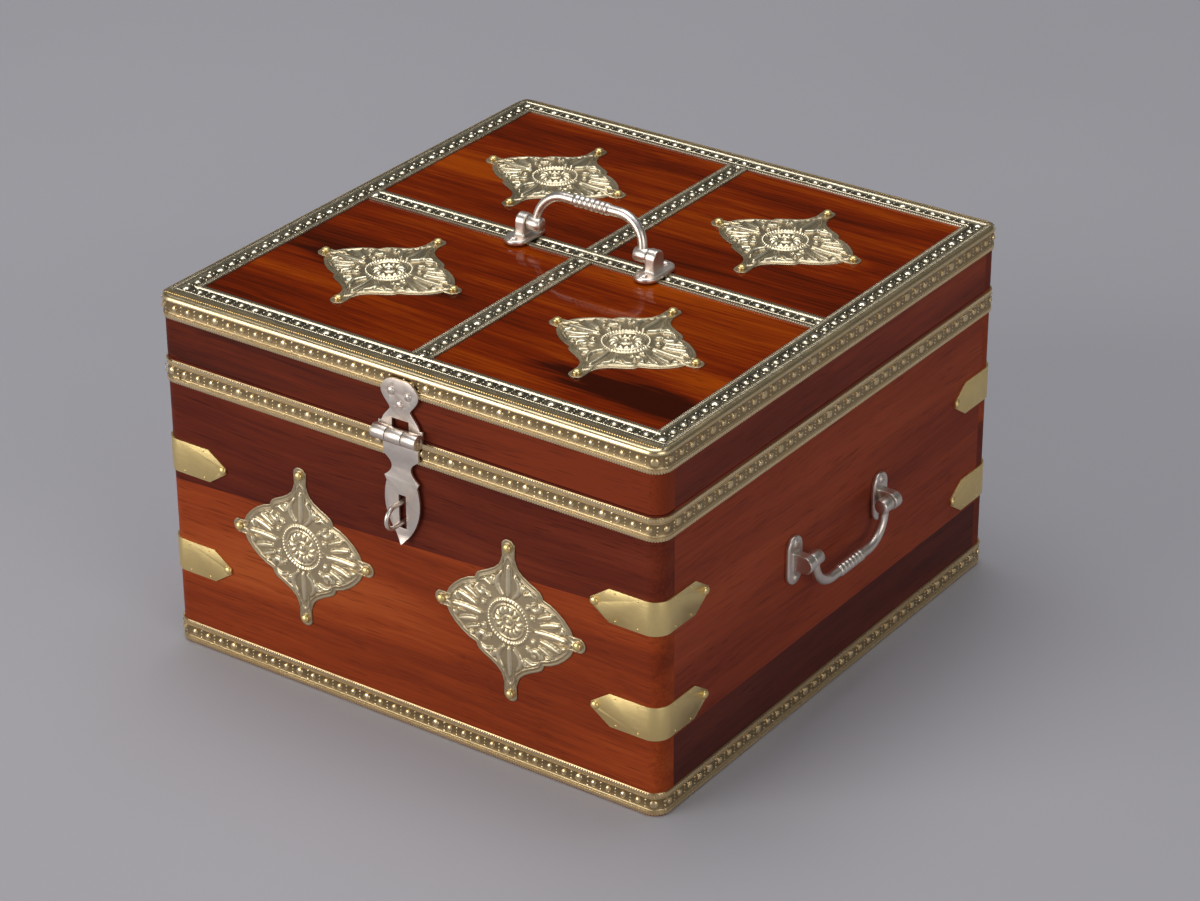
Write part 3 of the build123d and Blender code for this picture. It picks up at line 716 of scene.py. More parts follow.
class EmbossTree:
    """Geometry Nodes that stamp a strip's ticks and domes along the rows marked on it."""

    def __init__(self) -> None:
        """Build the tree once."""
        floats = ("Tick pitch", "Tick width", "Tick length", "Tick height",
                  "Dome pitch", "Dome radius", "Dome height", "Large dome")
        sockets = {"Geometry": "NodeSocketGeometry"}
        sockets.update({name: "NodeSocketFloat" for name in floats})
        sockets.update({"Repeat": "NodeSocketInt", "Material": "NodeSocketMaterial"})
        sheet, start, end = new_group("Embossed rows", "GeometryNodeTree", sockets,
                                      {"Geometry": "NodeSocketGeometry"})
        self.tree = sheet.tree
        self.sheet = sheet
        self.start = start
        given = start.outputs
        row = sheet.attribute(PATH, "INT")
        body = sheet.node("GeometryNodeDeleteGeometry",
                          {"Geometry": given["Geometry"], "Selection": sheet.math("GREATER_THAN", row, 0.5)})
        ticks = self.placed(row, TICK_ROW, given["Tick pitch"], self.tick(), False)
        domes = self.placed(row, DOME_ROW, given["Dome pitch"], self.dome(), True)
        sheet.feed(end, {0: sheet.realized(sheet.join(body.outputs[0], ticks, domes), given["Material"])})

    def raised(self, geometry: Socket) -> Socket:
        """Mark a shape as standing proud, so that the finish paints no hollow shade on it."""
        return self.sheet.node("GeometryNodeStoreNamedAttribute", {"Geometry": geometry, "Name": HOLLOW_SHADE_MASK,
                                                                   "Value": 1.0}).outputs[0]

    def tick(self) -> Socket:
        """Make one tick: a low six-sided ridge that lies across the strip.

        Returns:
            The tick, standing on the origin.
        """
        sheet, given = self.sheet, self.start.outputs
        bar = sheet.node("GeometryNodeMeshCylinder", {"Vertices": 6, "Radius": 1.0, "Depth": 1.0})
        laid = sheet.moved(bar.outputs[0], rotation=(pi / 2, 0, 0))
        half = sheet.math("MULTIPLY", given["Tick width"], 0.5)
        return self.raised(sheet.moved(laid, scale=sheet.triple(half, given["Tick length"],
                                                                given["Tick height"])))

    def dome(self) -> Socket:
        """Make one dome with the small leaves that stand between it and the next.

        Returns:
            The dome and its leaves, standing on the origin.
        """
        sheet, given = self.sheet, self.start.outputs
        ball = sheet.node("GeometryNodeMeshUVSphere", {"Segments": 12, "Rings": 8, "Radius": 1.0})
        radius, height = given["Dome radius"], given["Dome height"]
        size = sheet.triple(radius, radius, height)
        shapes = [sheet.moved(ball.outputs[0], scale=size)]
        seed = sheet.node("GeometryNodeMeshUVSphere", {"Segments": 8, "Rings": 6, "Radius": 1.0})
        half = sheet.math("MULTIPLY", given["Dome pitch"], 0.5)
        for lean, side, length, width in ((0.6, 1.1, 0.42, 0.2), (-0.6, -1.1, 0.42, 0.2), (0, 0, 0.22, 0.22)):
            place = sheet.triple(half, sheet.math("MULTIPLY", radius, side))
            shape = sheet.vector("MULTIPLY", size, (length, width * 1.3, 0.4))
            shapes.append(sheet.moved(seed.outputs[0], translation=place, rotation=(0, 0, lean), scale=shape))
        smooth = sheet.node("GeometryNodeSetShadeSmooth", {"Geometry": sheet.join(*shapes)})
        return self.raised(smooth.outputs[0])

    def placed(self, row: Socket, kind: int, pitch: Socket, shape: Socket, varied: bool) -> Socket:
        """Place a shape along every row of one kind.

        Args:
            row: the attribute that marks the rows.
            kind: which rows are taken.
            pitch: distance from one shape to the next.
            shape: what is placed.
            varied: whether every few shapes one is larger.

        Returns:
            The instances.
        """
        sheet, given = self.sheet, self.start.outputs
        chosen = sheet.node("FunctionNodeCompare", {2: row, 3: kind}, data_type="INT", operation="EQUAL")
        curve = sheet.node("GeometryNodeMeshToCurve", {"Mesh": given["Geometry"],
                                                       "Selection": chosen.outputs[0]})
        even = sheet.node("GeometryNodeResampleCurve", {"Curve": curve.outputs[0], "Length": pitch},
                          mode="LENGTH")
        tangent = sheet.node("GeometryNodeInputTangent").outputs[0]
        out = sheet.attribute(OUT, "FLOAT_VECTOR")
        turn = sheet.node("FunctionNodeAxesToRotation", {"Primary Axis": out, "Secondary Axis": tangent},
                          primary_axis="Z", secondary_axis="X")
        wanted = {"Points": even.outputs[0], "Instance": shape, "Rotation": turn.outputs[0]}
        if varied:
            count = sheet.node("GeometryNodeInputIndex").outputs[0]
            phase = sheet.math("MODULO", count, given["Repeat"])
            large = sheet.math("LESS_THAN", phase, 0.5)
            grown = sheet.math("SUBTRACT", given["Large dome"], 1.0)
            scale = sheet.math("MULTIPLY_ADD", large, grown, 1.0)
            wanted["Scale"] = sheet.triple(scale, scale, 1.0)
        return sheet.node("GeometryNodeInstanceOnPoints", wanted).outputs[0]


class FastenerTree:
    """Geometry Nodes that put a domed or slotted head on every marked point."""

    def __init__(self) -> None:
        """Build the tree once."""
        sockets = {"Geometry": "NodeSocketGeometry", "Radius": "NodeSocketFloat", "Height": "NodeSocketFloat",
                   "Slot width": "NodeSocketFloat", "Slotted": "NodeSocketBool",
                   "Material": "NodeSocketMaterial"}
        sheet, start, end = new_group("Fastener heads", "GeometryNodeTree", sockets,
                                      {"Geometry": "NodeSocketGeometry"})
        self.tree = sheet.tree
        given = start.outputs
        ball = sheet.node("GeometryNodeMeshUVSphere", {"Segments": 28, "Rings": 18, "Radius": 1.0})
        radius, height = given["Radius"], given["Height"]
        head = sheet.moved(ball.outputs[0], scale=sheet.triple(radius, radius, height))
        wide = sheet.math("MULTIPLY", radius, 2.4)
        block = sheet.node("GeometryNodeMeshCube", {"Size": sheet.triple(wide, given["Slot width"], height)})
        raised = sheet.moved(block.outputs[0], translation=sheet.triple(0.0, 0.0, height))
        cut = sheet.node("GeometryNodeMeshBoolean", {0: head, 1: raised},
                         operation="DIFFERENCE", solver="EXACT")
        shape = sheet.node("GeometryNodeSwitch", {0: given["Slotted"], 1: head, 2: cut.outputs[0]},
                           input_type="GEOMETRY")
        turn = sheet.node("FunctionNodeAxesToRotation", {
            "Primary Axis": sheet.attribute(OUT, "FLOAT_VECTOR"),
            "Secondary Axis": sheet.attribute(ALONG, "FLOAT_VECTOR")}, primary_axis="Z", secondary_axis="X")
        heads = sheet.node("GeometryNodeInstanceOnPoints", {
            "Points": given["Geometry"], "Instance": shape.outputs[0], "Rotation": turn.outputs[0],
            "Scale": sheet.attribute(SIZE, "FLOAT")})
        sheet.feed(end, {0: sheet.realized(heads.outputs[0], given["Material"])})


@dataclass
class Station:
    """One cross-section of a strip: where its edge is, and its two directions."""

    edge: Vector
    across: Vector
    out: Vector


@dataclass
class EmbossedStrips:
    """Embossed brass strip work: three bands round the walls, and the borders and cross on the lid."""

    tree: EmbossTree
    material: Material
    width: float = 12.7 * MM
    wall_radius: float = 8.0 * MM
    arc_steps: int = 10
    shelf: float = 0.70 * MM
    ridge: float = 0.82 * MM
    groove: float = 0.5 * MM
    floor: float = 0.35 * MM
    tick_centre: float = 1.25 * MM
    dome_centre: float = 6.35 * MM
    tick_pitch: float = 1.45 * MM
    tick_width: float = 0.95 * MM
    tick_length: float = 1.9 * MM
    tick_height: float = 0.32 * MM
    dome_pitch: float = 8.8 * MM
    dome_radius: float = 1.75 * MM
    dome_height: float = 0.95 * MM
    large_dome: float = 1.25
    repeat: int = 5
    notch_gap: float = 0.5 * MM
    fold_radius: float = 2.4 * MM
    core_radius: float = 1.4 * MM
    thickness: float = 1.0 * MM

    def half_section(self) -> list[tuple[float, float]]:
        """Give the section from one edge to the hollow in the middle.

        Returns:
            Distance across the strip and height over the wood, point by point.
        """
        return [(0.0, 0.2 * MM), (0.7 * MM, self.shelf), (2.25 * MM, self.shelf), (2.4 * MM, self.groove),
                (2.6 * MM, self.groove), (2.75 * MM, self.ridge), (3.1 * MM, self.ridge),
                (3.3 * MM, self.groove), (3.6 * MM, self.floor)]

    def section(self) -> list[tuple[float, float]]:
        """Give the whole section, the half and its mirror image."""
        half = self.half_section()
        return half + [(self.width - across, height) for across, height in reversed(half)]

    def mask(self, height: float) -> float:
        """Give the height mask that sets the finish's painted hollow shade, at a height over the wood."""
        return max(0.0, (height - self.floor) / (self.shelf - self.floor))

    def inputs(self) -> dict[str, Any]:
        """Give the values of the tree's inputs.

        Returns:
            One value for each input by name.
        """
        return {"Tick pitch": self.tick_pitch, "Tick width": self.tick_width,
                "Tick length": self.tick_length, "Tick height": self.tick_height,
                "Dome pitch": self.dome_pitch, "Dome radius": self.dome_radius,
                "Dome height": self.dome_height, "Large dome": self.large_dome,
                "Repeat": self.repeat, "Material": self.material}

    def loop(self, half_x: float, half_y: float) -> list[Seat]:
        """Give the line of the walls, seen from above, from the middle of the back round to it again.

        Args:
            half_x: half the width of the wood.
            half_y: half its depth.

        Returns:
            Place and outward direction at each step.
        """
        steps = []
        radius = self.wall_radius
        corners = ((-1, 1, pi / 2), (-1, -1, pi), (1, -1, 1.5 * pi), (1, 1, 0.0))
        for side_x, side_y, begin in corners:
            centre = Vector((side_x * (half_x - radius), side_y * (half_y - radius), 0))
            for step in range(self.arc_steps + 1):
                angle = begin + step / self.arc_steps * pi / 2
                way = Vector((cos(angle), sin(angle), 0))
                steps.append((centre + way * radius, way))
        return steps

    def build(self, name: str, runs: Sequence[tuple[list[Station], bool]]) -> Piece:
        """Sweep the section along each run, mark its rows and stamp them.

        Args:
            name: name of the piece.
            runs: stations of each run, and whether it closes on itself.

        Returns:
            The finished strip, as a plain mesh.
        """
        points: list[Vector] = []
        faces: list[list[int]] = []
        relief: list[float] = []
        section = self.section()
        ring = section + [(section[-1][0], 0.0), (section[0][0], 0.0)]
        count = len(ring)
        for stations, closed in runs:
            base = len(points)
            for station in stations:
                for across, height in ring:
                    points.append(station.edge + station.across * across + station.out * height)
                    relief.append(self.mask(height))
            total = len(stations)
            for step in range(total if closed else total - 1):
                one, two = base + step * count, base + (step + 1) % total * count
                for side in range(count):
                    after = (side + 1) % count
                    faces.append([one + side, one + after, two + after, two + side])
            if not closed:
                faces.append([base + side for side in reversed(range(count))])
                faces.append([base + (total - 1) * count + side for side in range(count)])
        marked = [(stations, closed, self.rows()) for stations, closed in runs]
        return self.stamp(name, points, faces, relief, marked)

    def stamp(self, name: str, points: list[Vector], faces: list[list[int]], relief: list[float],
              runs: Sequence[tuple[list[Station], bool, Sequence[Row]]]) -> Piece:
        """Add the rows to a swept skin and run the tree on it.

        Args:
            name: name of the piece.
            points: points of the skin.
            faces: its faces.
            relief: height mask of each point, which sets the painted hollow shade.
            runs: stations of each run, whether it closes on itself, and its rows of stamps as
                kind, distance across and height.

        Returns:
            The finished strip, as a plain mesh.
        """
        kinds = [0] * len(points)
        outs = [UP] * len(points)
        edges = []
        for stations, closed, rows in runs:
            for kind, across, height in rows:
                base = len(points)
                for station in stations:
                    points.append(station.edge + station.across * across + station.out * height)
                    outs.append(station.out)
                    kinds.append(kind)
                    relief.append(1.0)
                total = len(stations)
                last = total if closed else total - 1
                edges += [(base + step, base + (step + 1) % total) for step in range(last)]
        mesh = mesh_from(name, points, faces, edges)
        add_point_attribute(mesh, PATH, "INT", kinds)
        add_point_attribute(mesh, OUT, "FLOAT_VECTOR", outs)
        add_point_attribute(mesh, HOLLOW_SHADE_MASK, "FLOAT", relief)
        piece = new_object(name, mesh)
        face_outward(mesh)
        modifier = piece.modifiers.new("Embossed rows", "NODES")
        modifier.node_group = self.tree.tree
        set_inputs(modifier, self.tree.tree, self.inputs())
        bake(piece)
        for spare in (PATH, OUT):
            if spare in piece.data.attributes:
                piece.data.attributes.remove(piece.data.attributes[spare])
        smooth_by_angle(piece, STRIP_SMOOTH)
        return piece

    def rows(self) -> list[Row]:
        """Give the rows of a plain strip: ticks at both edges and domes down the middle."""
        return [(TICK_ROW, self.tick_centre, self.shelf), (DOME_ROW, self.dome_centre, self.floor),
                (TICK_ROW, self.width - self.tick_centre, self.shelf)]

    def wall_band(self, node: str, body: Body) -> None:
        """Make a band round the walls, open at the back where the node is notched for the hinges.

        Args:
            node: name of the band's node.
            body: what it rides on.
        """
        spans = islands(node)
        low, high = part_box(node)
        half_x, half_y = high.x - self.thickness, high.y - self.thickness
        base = UP * low.z
        around = [Station(place + base, UP, way) for place, way in self.loop(half_x, half_y)]
        if len(spans) == 1:
            runs = [(around, True)]
        else:
            back = Vector((0, 1, 0))
            middle = min(spans, key=lambda pair: pair[1].x - pair[0].x)
            notch = self.notch_edge()
            ends = [Station(Vector((side * notch, half_y, low.z)), UP, back) for side in (-1, 1)]
            centre = [Station(Vector((x, half_y, low.z)), UP, back) for x in (middle[1].x, middle[0].x)]
            runs = [([ends[0]] + around + [ends[1]], False), (centre, False)]
        piece = self.build(f"{node}_embossed", runs)
        finish_piece(piece, body, Slot.EMBOSSED, node)

    def notch_edge(self) -> float:
        """Give the distance from the middle of the back to the outer edge of a hinge notch."""
        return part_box("right_hinge_case_leaf")[1].x + self.notch_gap

    def side_band(self) -> None:
        """Make the band round the lid's sides, folded over its rounded top edge."""
        node = "lid_side_band"
        low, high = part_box(node)
        half_x, half_y = high.x - self.thickness, high.y - self.thickness
        top = high.z
        left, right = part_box("lid_border_left")[0].x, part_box("lid_border_right")[1].x
        front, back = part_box("lid_border_front")[0].y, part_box("lid_border_back")[1].y
        wall = [(low.z + across, height) for across, height in self.half_section()]
        upper = low.z + self.width - self.fold_radius
        wall += [(upper - 0.9 * MM, self.floor), (upper - 0.6 * MM, self.groove),
                 (upper - 0.4 * MM, self.ridge)]
        arc = [radians(15 * step) for step in range(7)]
        outer = [(upper + self.fold_radius * sin(angle),
                  self.thickness - self.fold_radius + self.fold_radius * cos(angle)) for angle in arc]
        inner = [(upper + self.core_radius * sin(angle),
                  -self.core_radius + self.core_radius * cos(angle)) for angle in reversed(arc)]
        points, faces, relief = [], [], []
        loop = self.loop(half_x, half_y)
        for place, way in loop:
            lip = Vector((min(max(place.x, left), right), min(max(place.y, front), back), 0))
            for height, out in wall + outer:
                points.append(place + way * out + UP * height)
                relief.append(self.mask(out) if height < upper else 1.0)
            for height in (top, top - self.thickness):
                points.append(lip + UP * height)
                relief.append(1.0)
            # The inside of the fold gets part of the painted hollow shade.
            for height, out in inner + [(low.z, 0.0)]:
                points.append(place + way * out + UP * height)
                relief.append(0.5)
        count = len(points) // len(loop)
        for step in range(len(loop)):
            one, two = step * count, (step + 1) % len(loop) * count
            for side in range(count):
                after = (side + 1) % count
                faces.append([one + side, one + after, two + after, two + side])
        around = [Station(place + UP * low.z, UP, way) for place, way in loop]
        fold_y = (front - high.y + self.fold_radius) / 2
        fold = [Station(Vector((x, fold_y, top)), UP, UP) for x in (left, right)]
        piece = self.stamp("lid_side_band_embossed", points, faces, relief,
                           [(around, True, self.rows()[:2]), (fold, False, [(TICK_ROW, 0.0, 0.0)])])
        finish_piece(piece, Body.LID, Slot.EMBOSSED, node)

    def lid_strips(self) -> None:
        """Make the four mitred borders and the two crossing strips on the lid."""
        names = ("front", "right", "back", "left")
        boxes = {name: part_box(f"lid_border_{name}") for name in names}
        base = boxes["front"][0].z
        outer = (boxes["left"][0].x, boxes["front"][0].y, boxes["right"][1].x, boxes["back"][1].y)
        inner = (boxes["left"][1].x, boxes["front"][1].y, boxes["right"][0].x, boxes["back"][0].y)
        turns = ((0, 1), (2, 1), (2, 3), (0, 3))
        for index, name in enumerate(names):
            stations = []
            for x_side, y_side in (turns[index], turns[(index + 1) % 4]):
                edge = Vector((outer[x_side], outer[y_side], base))
                end = Vector((inner[x_side], inner[y_side], base))
                stations.append(Station(edge, (end - edge) / self.width, UP))
            piece = self.build(f"lid_border_{name}_embossed", [(stations, False)])
            finish_piece(piece, Body.LID, Slot.EMBOSSED, f"lid_border_{name}")
        low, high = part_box("lid_cross_strip_long")
        long_run = [Station(Vector((x, low.y, base)), Vector((0, 1, 0)), UP) for x in (low.x, high.x)]
        piece = self.build("lid_cross_long_embossed", [(long_run, False)])
        finish_piece(piece, Body.LID, Slot.EMBOSSED, "lid_cross_strip_long")
        runs = []
        for short_low, short_high in islands("lid_cross_strip_short"):
            runs.append(([Station(Vector((short_low.x, y, base)), Vector((1, 0, 0)), UP)
                          for y in (short_high.y, short_low.y)], False))
        piece = self.build("lid_cross_short_embossed", runs)
        finish_piece(piece, Body.LID, Slot.EMBOSSED, "lid_cross_strip_short")


@dataclass
class Plaques:
    """Embossed plaques with an ogee outline, a rosette and scrolls round it."""

    material: Material
    rays: int = 420
    rings: int = 84
    nail_reach: float = 41.0
    ear_radius: float = 4.2
    ear_steps: int = 11
    sheet: float = 0.55
    belly: float = 0.75
    belly_reach: float = 34.0
    rim_line: float = 2.5
    button: float = 1.8
    inner_ring: float = 3.3
    flute_middle: float = 6.3
    flutes: int = 14
    outer_ring: float = 9.3
    bead_ring: float = 11.8
    beads: int = 44
    side: tuple[tuple[float, float], ...] = ((4.1, 35.0), (4.6, 32.8), (5.8, 30.3), (8.6, 27.6), (12.6, 25.2),
                                             (16.6, 23.2), (18.9, 21.7), (19.9, 20.3), (20.6, 18.4),
                                             (24.8, 17.0), (29.2, 14.4), (33.2, 11.1), (36.4, 7.4),
                                             (37.6, 5.0), (38.2, 3.2))

    def outline(self) -> np.ndarray:
        """Give the outline as points all the way round, in millimetres.

        Returns:
            One row of two numbers for each point.
        """
        steps = [step / self.ear_steps for step in range(self.ear_steps + 1)]
        quadrant = []
        for share in steps:
            angle = pi / 2 - share * radians(150)
            quadrant.append((self.ear_radius * cos(angle), self.nail_reach + self.ear_radius * sin(angle)))
        quadrant += self.side
        for share in steps:
            angle = radians(125) - share * radians(125)
            quadrant.append((self.nail_reach + self.ear_radius * cos(angle), self.ear_radius * sin(angle)))
        first = np.array(quadrant)
        lower = first[::-1] * (1, -1)
        right = np.vstack([first, lower[1:]])
        left = right[::-1] * (-1, 1)
        return np.vstack([right, left[1:-1]])

    def reach(self, line: np.ndarray, angles: np.ndarray) -> np.ndarray:
        """Find how far the outline is from the middle along each ray.

        Args:
            line: the outline.
            angles: directions, in radians.

        Returns:
            One distance for each ray.
        """
        start_u, start_v = line.T
        edge_u, edge_v = (np.roll(line, -1, axis=0) - line).T
        way_u, way_v = np.cos(angles)[:, None], np.sin(angles)[:, None]
        cross = way_u * edge_v - way_v * edge_u
        cross = np.where(np.abs(cross) < TINY, TINY, cross)
        far = (start_u * edge_v - start_v * edge_u) / cross
        part = (start_u * way_v - start_v * way_u) / cross
        hit = (part >= -1e-6) & (part <= 1 + 1e-6) & (far > 0)
        return np.where(hit, far, 0).max(axis=1)

    @staticmethod
    def from_line(u: np.ndarray, v: np.ndarray, line: np.ndarray,
                  closed: bool) -> tuple[np.ndarray, np.ndarray]:
        """Measure how far points are from a line.

        Args:
            u: places of the points across.
            v: places of the points up.
            line: points along the line.
            closed: whether the line joins its own start.

        Returns:
            Distance of each point, and how far along the line its nearest place is, from 0 to 1.
        """
        nearest = np.full(u.shape, 1e9)
        share = np.zeros(u.shape)
        total = len(line) if closed else len(line) - 1
        for index in range(total):
            start, end = line[index], line[(index + 1) % len(line)]
            du, dv = end - start
            along = np.clip(((u - start[0]) * du + (v - start[1]) * dv) / (du * du + dv * dv + 1e-12), 0, 1)
            gap = np.hypot(u - start[0] - along * du, v - start[1] - along * dv)
            closer = gap < nearest
            nearest = np.where(closer, gap, nearest)
            share = np.where(closer, (index + along) / total, share)
        return nearest, share

    def strokes(self) -> list[tuple[np.ndarray, float, float]]:
        """Give the raised strokes of one quadrant.

        Returns:
            Line, half width and height of each stroke, in millimetres.
        """
        ribs = (((16.5, 0.0), (33.5, 0.0), 1.4), ((19.6, 4.4), (30.0, 7.4), 1.3),
                ((18.4, 8.0), (26.5, 11.9), 1.1), ((0.0, 15.0), (0.0, 30.0), 1.3),
                ((14.6, 6.4), (15.0, 6.8), 1.8), ((11.0, 11.0), (12.6, 12.4), 1.2))
        curls = (((10.2, 18.2), (13.6, 19.7), (17.0, 19.1), (19.1, 17.5), (19.6, 15.0), (18.9, 12.9),
                  (17.0, 11.4), (15.2, 11.5), (14.2, 12.7), (14.4, 13.9), (15.4, 14.6)),
                 ((3.4, 14.6), (5.8, 17.2), (6.9, 20.2), (6.4, 23.2), (4.6, 26.2)),
                 ((8.6, 19.2), (9.4, 21.4), (11.2, 22.3), (12.8, 21.4)),
                 ((30.6, 3.2), (32.2, 5.0), (33.8, 4.4)), ((22.4, 13.4), (24.8, 14.2), (27.4, 13.2)))
        made = [(np.array((begin, end)), half, 1.15) for begin, end, half in ribs]
        return made + [(np.array(curl), 1.25, 1.2) for curl in curls]

    def relief(self, u: np.ndarray, v: np.ndarray, line: np.ndarray) -> np.ndarray:
        """Give the height of the face over the wood.

        Args:
            u: places across, in millimetres.
            v: places up.
            line: the outline.

        Returns:
            Height of each point, in millimetres.
        """
        rim, _ = self.from_line(u, v, line, True)
        radius = np.hypot(u, v)
        turn = np.arctan2(v, u)
        belly = np.clip(1 - (radius / self.belly_reach) ** 2, 0, 1)
        height = self.sheet + self.belly * belly * np.clip(rim / 6, 0, 1)
        height = height + 0.6 * self.ridge(rim, self.rim_line, 0.42) + 0.2 * self.ridge(rim, 0.5, 0.3)
        inner = np.clip((rim - 3.0) / 0.9, 0, 1)
        best = np.zeros(u.shape)
        for stroke, half, rise in self.strokes():
            gap, share = self.from_line(np.abs(u), np.abs(v), stroke, False)
            taper = half * (0.55 + 0.7 * np.sin(np.pi * np.clip(share * 0.8 + 0.12, 0, 1)))
            best = np.maximum(best, rise * self.mound(gap, taper))
        height = height + best * inner * np.clip((radius - 12.9) / 0.7, 0, 1)
        height = height + 1.3 * self.mound(radius, self.button)
        height = height + 0.6 * self.ridge(radius, self.inner_ring, 0.5)
        flutes = np.abs(np.cos(self.flutes / 2 * turn)) ** 0.7
        height = height + 0.95 * flutes * self.mound(radius - self.flute_middle, 2.0)
        height = height + 0.55 * self.ridge(radius, self.outer_ring, 0.42)
        beads = 0.55 + 0.45 * np.abs(np.cos(self.beads / 2 * turn))
        return height + 0.9 * beads * self.ridge(radius, self.bead_ring, 0.8)

    @staticmethod
    def ridge(distance: np.ndarray, place: float, width: float) -> np.ndarray:
        """Give the height of a soft ridge that is 1 high at a place."""
        return np.exp(-((distance - place) / width) ** 2)

    @staticmethod
    def mound(distance: np.ndarray, half: Any) -> np.ndarray:
        """Give the height of a round mound that is 1 high in its middle."""
        return np.sqrt(np.clip(1 - (distance / half) ** 2, 0, 1))

    def template(self) -> tuple[np.ndarray, list[list[int]], np.ndarray]:
        """Build one plaque in its own plane.

        Returns:
            Points as (across, up, out) in metres, faces, and the height mask of each point, which sets the
            painted hollow shade.
        """
        line = self.outline()
        angles = np.arange(self.rays) / self.rays * tau
        reach = self.reach(line, angles)
        shares = np.linspace(0, 1, self.rings + 1)[1:]
        distance = np.outer(shares, reach)
        u = (distance * np.cos(angles)).ravel()
        v = (distance * np.sin(angles)).ravel()
        height = self.relief(u, v, line)
        centre = self.relief(np.array([0.0]), np.array([0.0]), line)
        rim_u, rim_v = u[-self.rays:], v[-self.rays:]
        points = np.vstack([
            np.stack([u, v, height], axis=1),
            np.array([[0, 0, centre[0]]]),
            np.stack([rim_u, rim_v, np.zeros(self.rays)], axis=1),
            np.array([[0, 0, 0.0]]),
        ])
        faces = []
        top_centre = self.rays * self.rings
        under = top_centre + 1
        under_centre = under + self.rays
        for ray in range(self.rays):
            after = (ray + 1) % self.rays
            faces.append([top_centre, ray, after])
            for ring in range(self.rings - 1):
                low, high = ring * self.rays, (ring + 1) * self.rays
                faces.append([low + ray, high + ray, high + after, low + after])
            last = (self.rings - 1) * self.rays
            faces.append([last + ray, under + ray, under + after, last + after])
            faces.append([under_centre, under + after, under + ray])
        # The height over the belly sets the painted hollow shade of the finish.
        local = height - self.relief_base(u, v)
        mask = np.concatenate([local, [1.0], np.zeros(self.rays + 1)])
        return points * MM, faces, np.clip(mask / 0.75, 0, 1)

    def relief_base(self, u: np.ndarray, v: np.ndarray) -> np.ndarray:
        """Give the height below which the finish paints hollow shade."""
        return self.sheet + 0.6 * np.clip(1 - (np.hypot(u, v) / self.belly_reach) ** 2, 0, 1)

    def build(self) -> None:
        """Place a plaque on every plaque node."""
        points, faces, mask = self.template()
        names = ["front_left_plaque", "front_right_plaque"]
        names += [f"lid_{end}_{side}_plaque" for end in ("front", "back") for side in ("left", "right")]
        for name in names:
            low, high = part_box(name)
            middle = (low + high) / 2
            if name.startswith("lid"):
                axes = Matrix(((1, 0, 0), (0, 1, 0), (0, 0, 1)))
                seat, body = Vector((middle.x, middle.y, low.z)), Body.LID
            else:
                axes = Matrix(((1, 0, 0), (0, 0, -1), (0, 1, 0)))
                seat, body = Vector((middle.x, high.y, middle.z)), Body.CASE
            placed = points @ np.array(axes).T + np.array(seat)
            mesh = mesh_from(f"{name}_relief", placed, faces)
            add_point_attribute(mesh, HOLLOW_SHADE_MASK, "FLOAT", mask)
            piece = new_object(f"{name}_relief", mesh)
            smooth_by_angle(piece, PLAQUE_SMOOTH)
            finish_piece(piece, body, Slot.EMBOSSED, name, material=self.material)


@dataclass
class Fasteners:
    """Nails, pins and screws, placed where the model has them."""

    tree: FastenerTree
    brass: Material
    nickel: Material
    draw: random.Random = field(default_factory=lambda: random.Random(11))
    slot_width: float = 0.55 * MM

    def heads(self, name: str, seats: Sequence[Seat], radius: float, height: float,
              head: Head, material: Material) -> Piece:
        """Make one piece of many heads.

        Args:
            name: name of the piece.
            seats: place and outward direction of each head.
            radius: radius of a head.
            height: height of a head.
            head: kind of head.
            material: its finish.

        Returns:
            The piece, as a plain mesh.
        """
        alongs = []
        for _, out in seats:
            side = out.orthogonal().normalized()
            other = out.cross(side)
            angle = self.draw.uniform(0, pi)
            alongs.append(side * cos(angle) + other * sin(angle))
        mesh = mesh_from(name, [place for place, _ in seats], [])
        add_point_attribute(mesh, OUT, "FLOAT_VECTOR", [out for _, out in seats])
        add_point_attribute(mesh, ALONG, "FLOAT_VECTOR", alongs)
        add_point_attribute(mesh, SIZE, "FLOAT", [self.draw.uniform(0.97, 1.0) for _ in seats])
        piece = new_object(name, mesh)
        modifier = piece.modifiers.new("Fastener heads", "NODES")
        modifier.node_group = self.tree.tree
        set_inputs(modifier, self.tree.tree, {
            "Radius": radius, "Height": height, "Slot width": self.slot_width,
            "Slotted": head is Head.SLOTTED, "Material": material})
        bake(piece)
        smooth_by_angle(piece, HEAD_SMOOTH)
        return piece

    def seats(self, node: str, height: float) -> list[Seat]:
        """Find where each fastener's head sits in a node of the model.

        Args:
            node: name of the node.
            height: height of its heads.

        Returns:
            Place of the head's underside, and its outward direction.
        """
        found = []
        for low, high in islands(node):
            size = high - low
            axis = max(range(3), key=lambda index: size[index])
            middle = (low + high) / 2
            sign = 1.0 if axis == 2 or middle[axis] > 0 else -1.0
            out = Vector([sign if index == axis else 0.0 for index in range(3)])
            tip = high[axis] if sign > 0 else low[axis]
            place = middle.copy()
            place[axis] = tip - sign * height
            found.append((place, out))
        return found

    def build(self) -> None:
        """Make every nail and every screw."""
        nail = (2.4 * MM, 1.5 * MM, Head.DOME, self.brass)
        screw = (2.3 * MM, 1.1 * MM, Head.SLOTTED, self.nickel)
        jobs = (("strap_nails", nail, Body.CASE, Slot.BRASS),
                ("front_plaque_nails", nail, Body.CASE, Slot.BRASS),
                ("lid_plaque_nails", nail, Body.LID, Slot.BRASS),
                ("hasp_screws", screw, Body.LID, Slot.BRIGHT),
                ("lid_screws", screw, Body.LID, Slot.BRIGHT),
                ("case_screws", screw, Body.CASE, Slot.BRIGHT))
        for node, kind, body, slot in jobs:
            piece = self.heads(f"{node}_heads", self.seats(node, kind[1]), *kind)
            finish_piece(piece, body, slot, node)


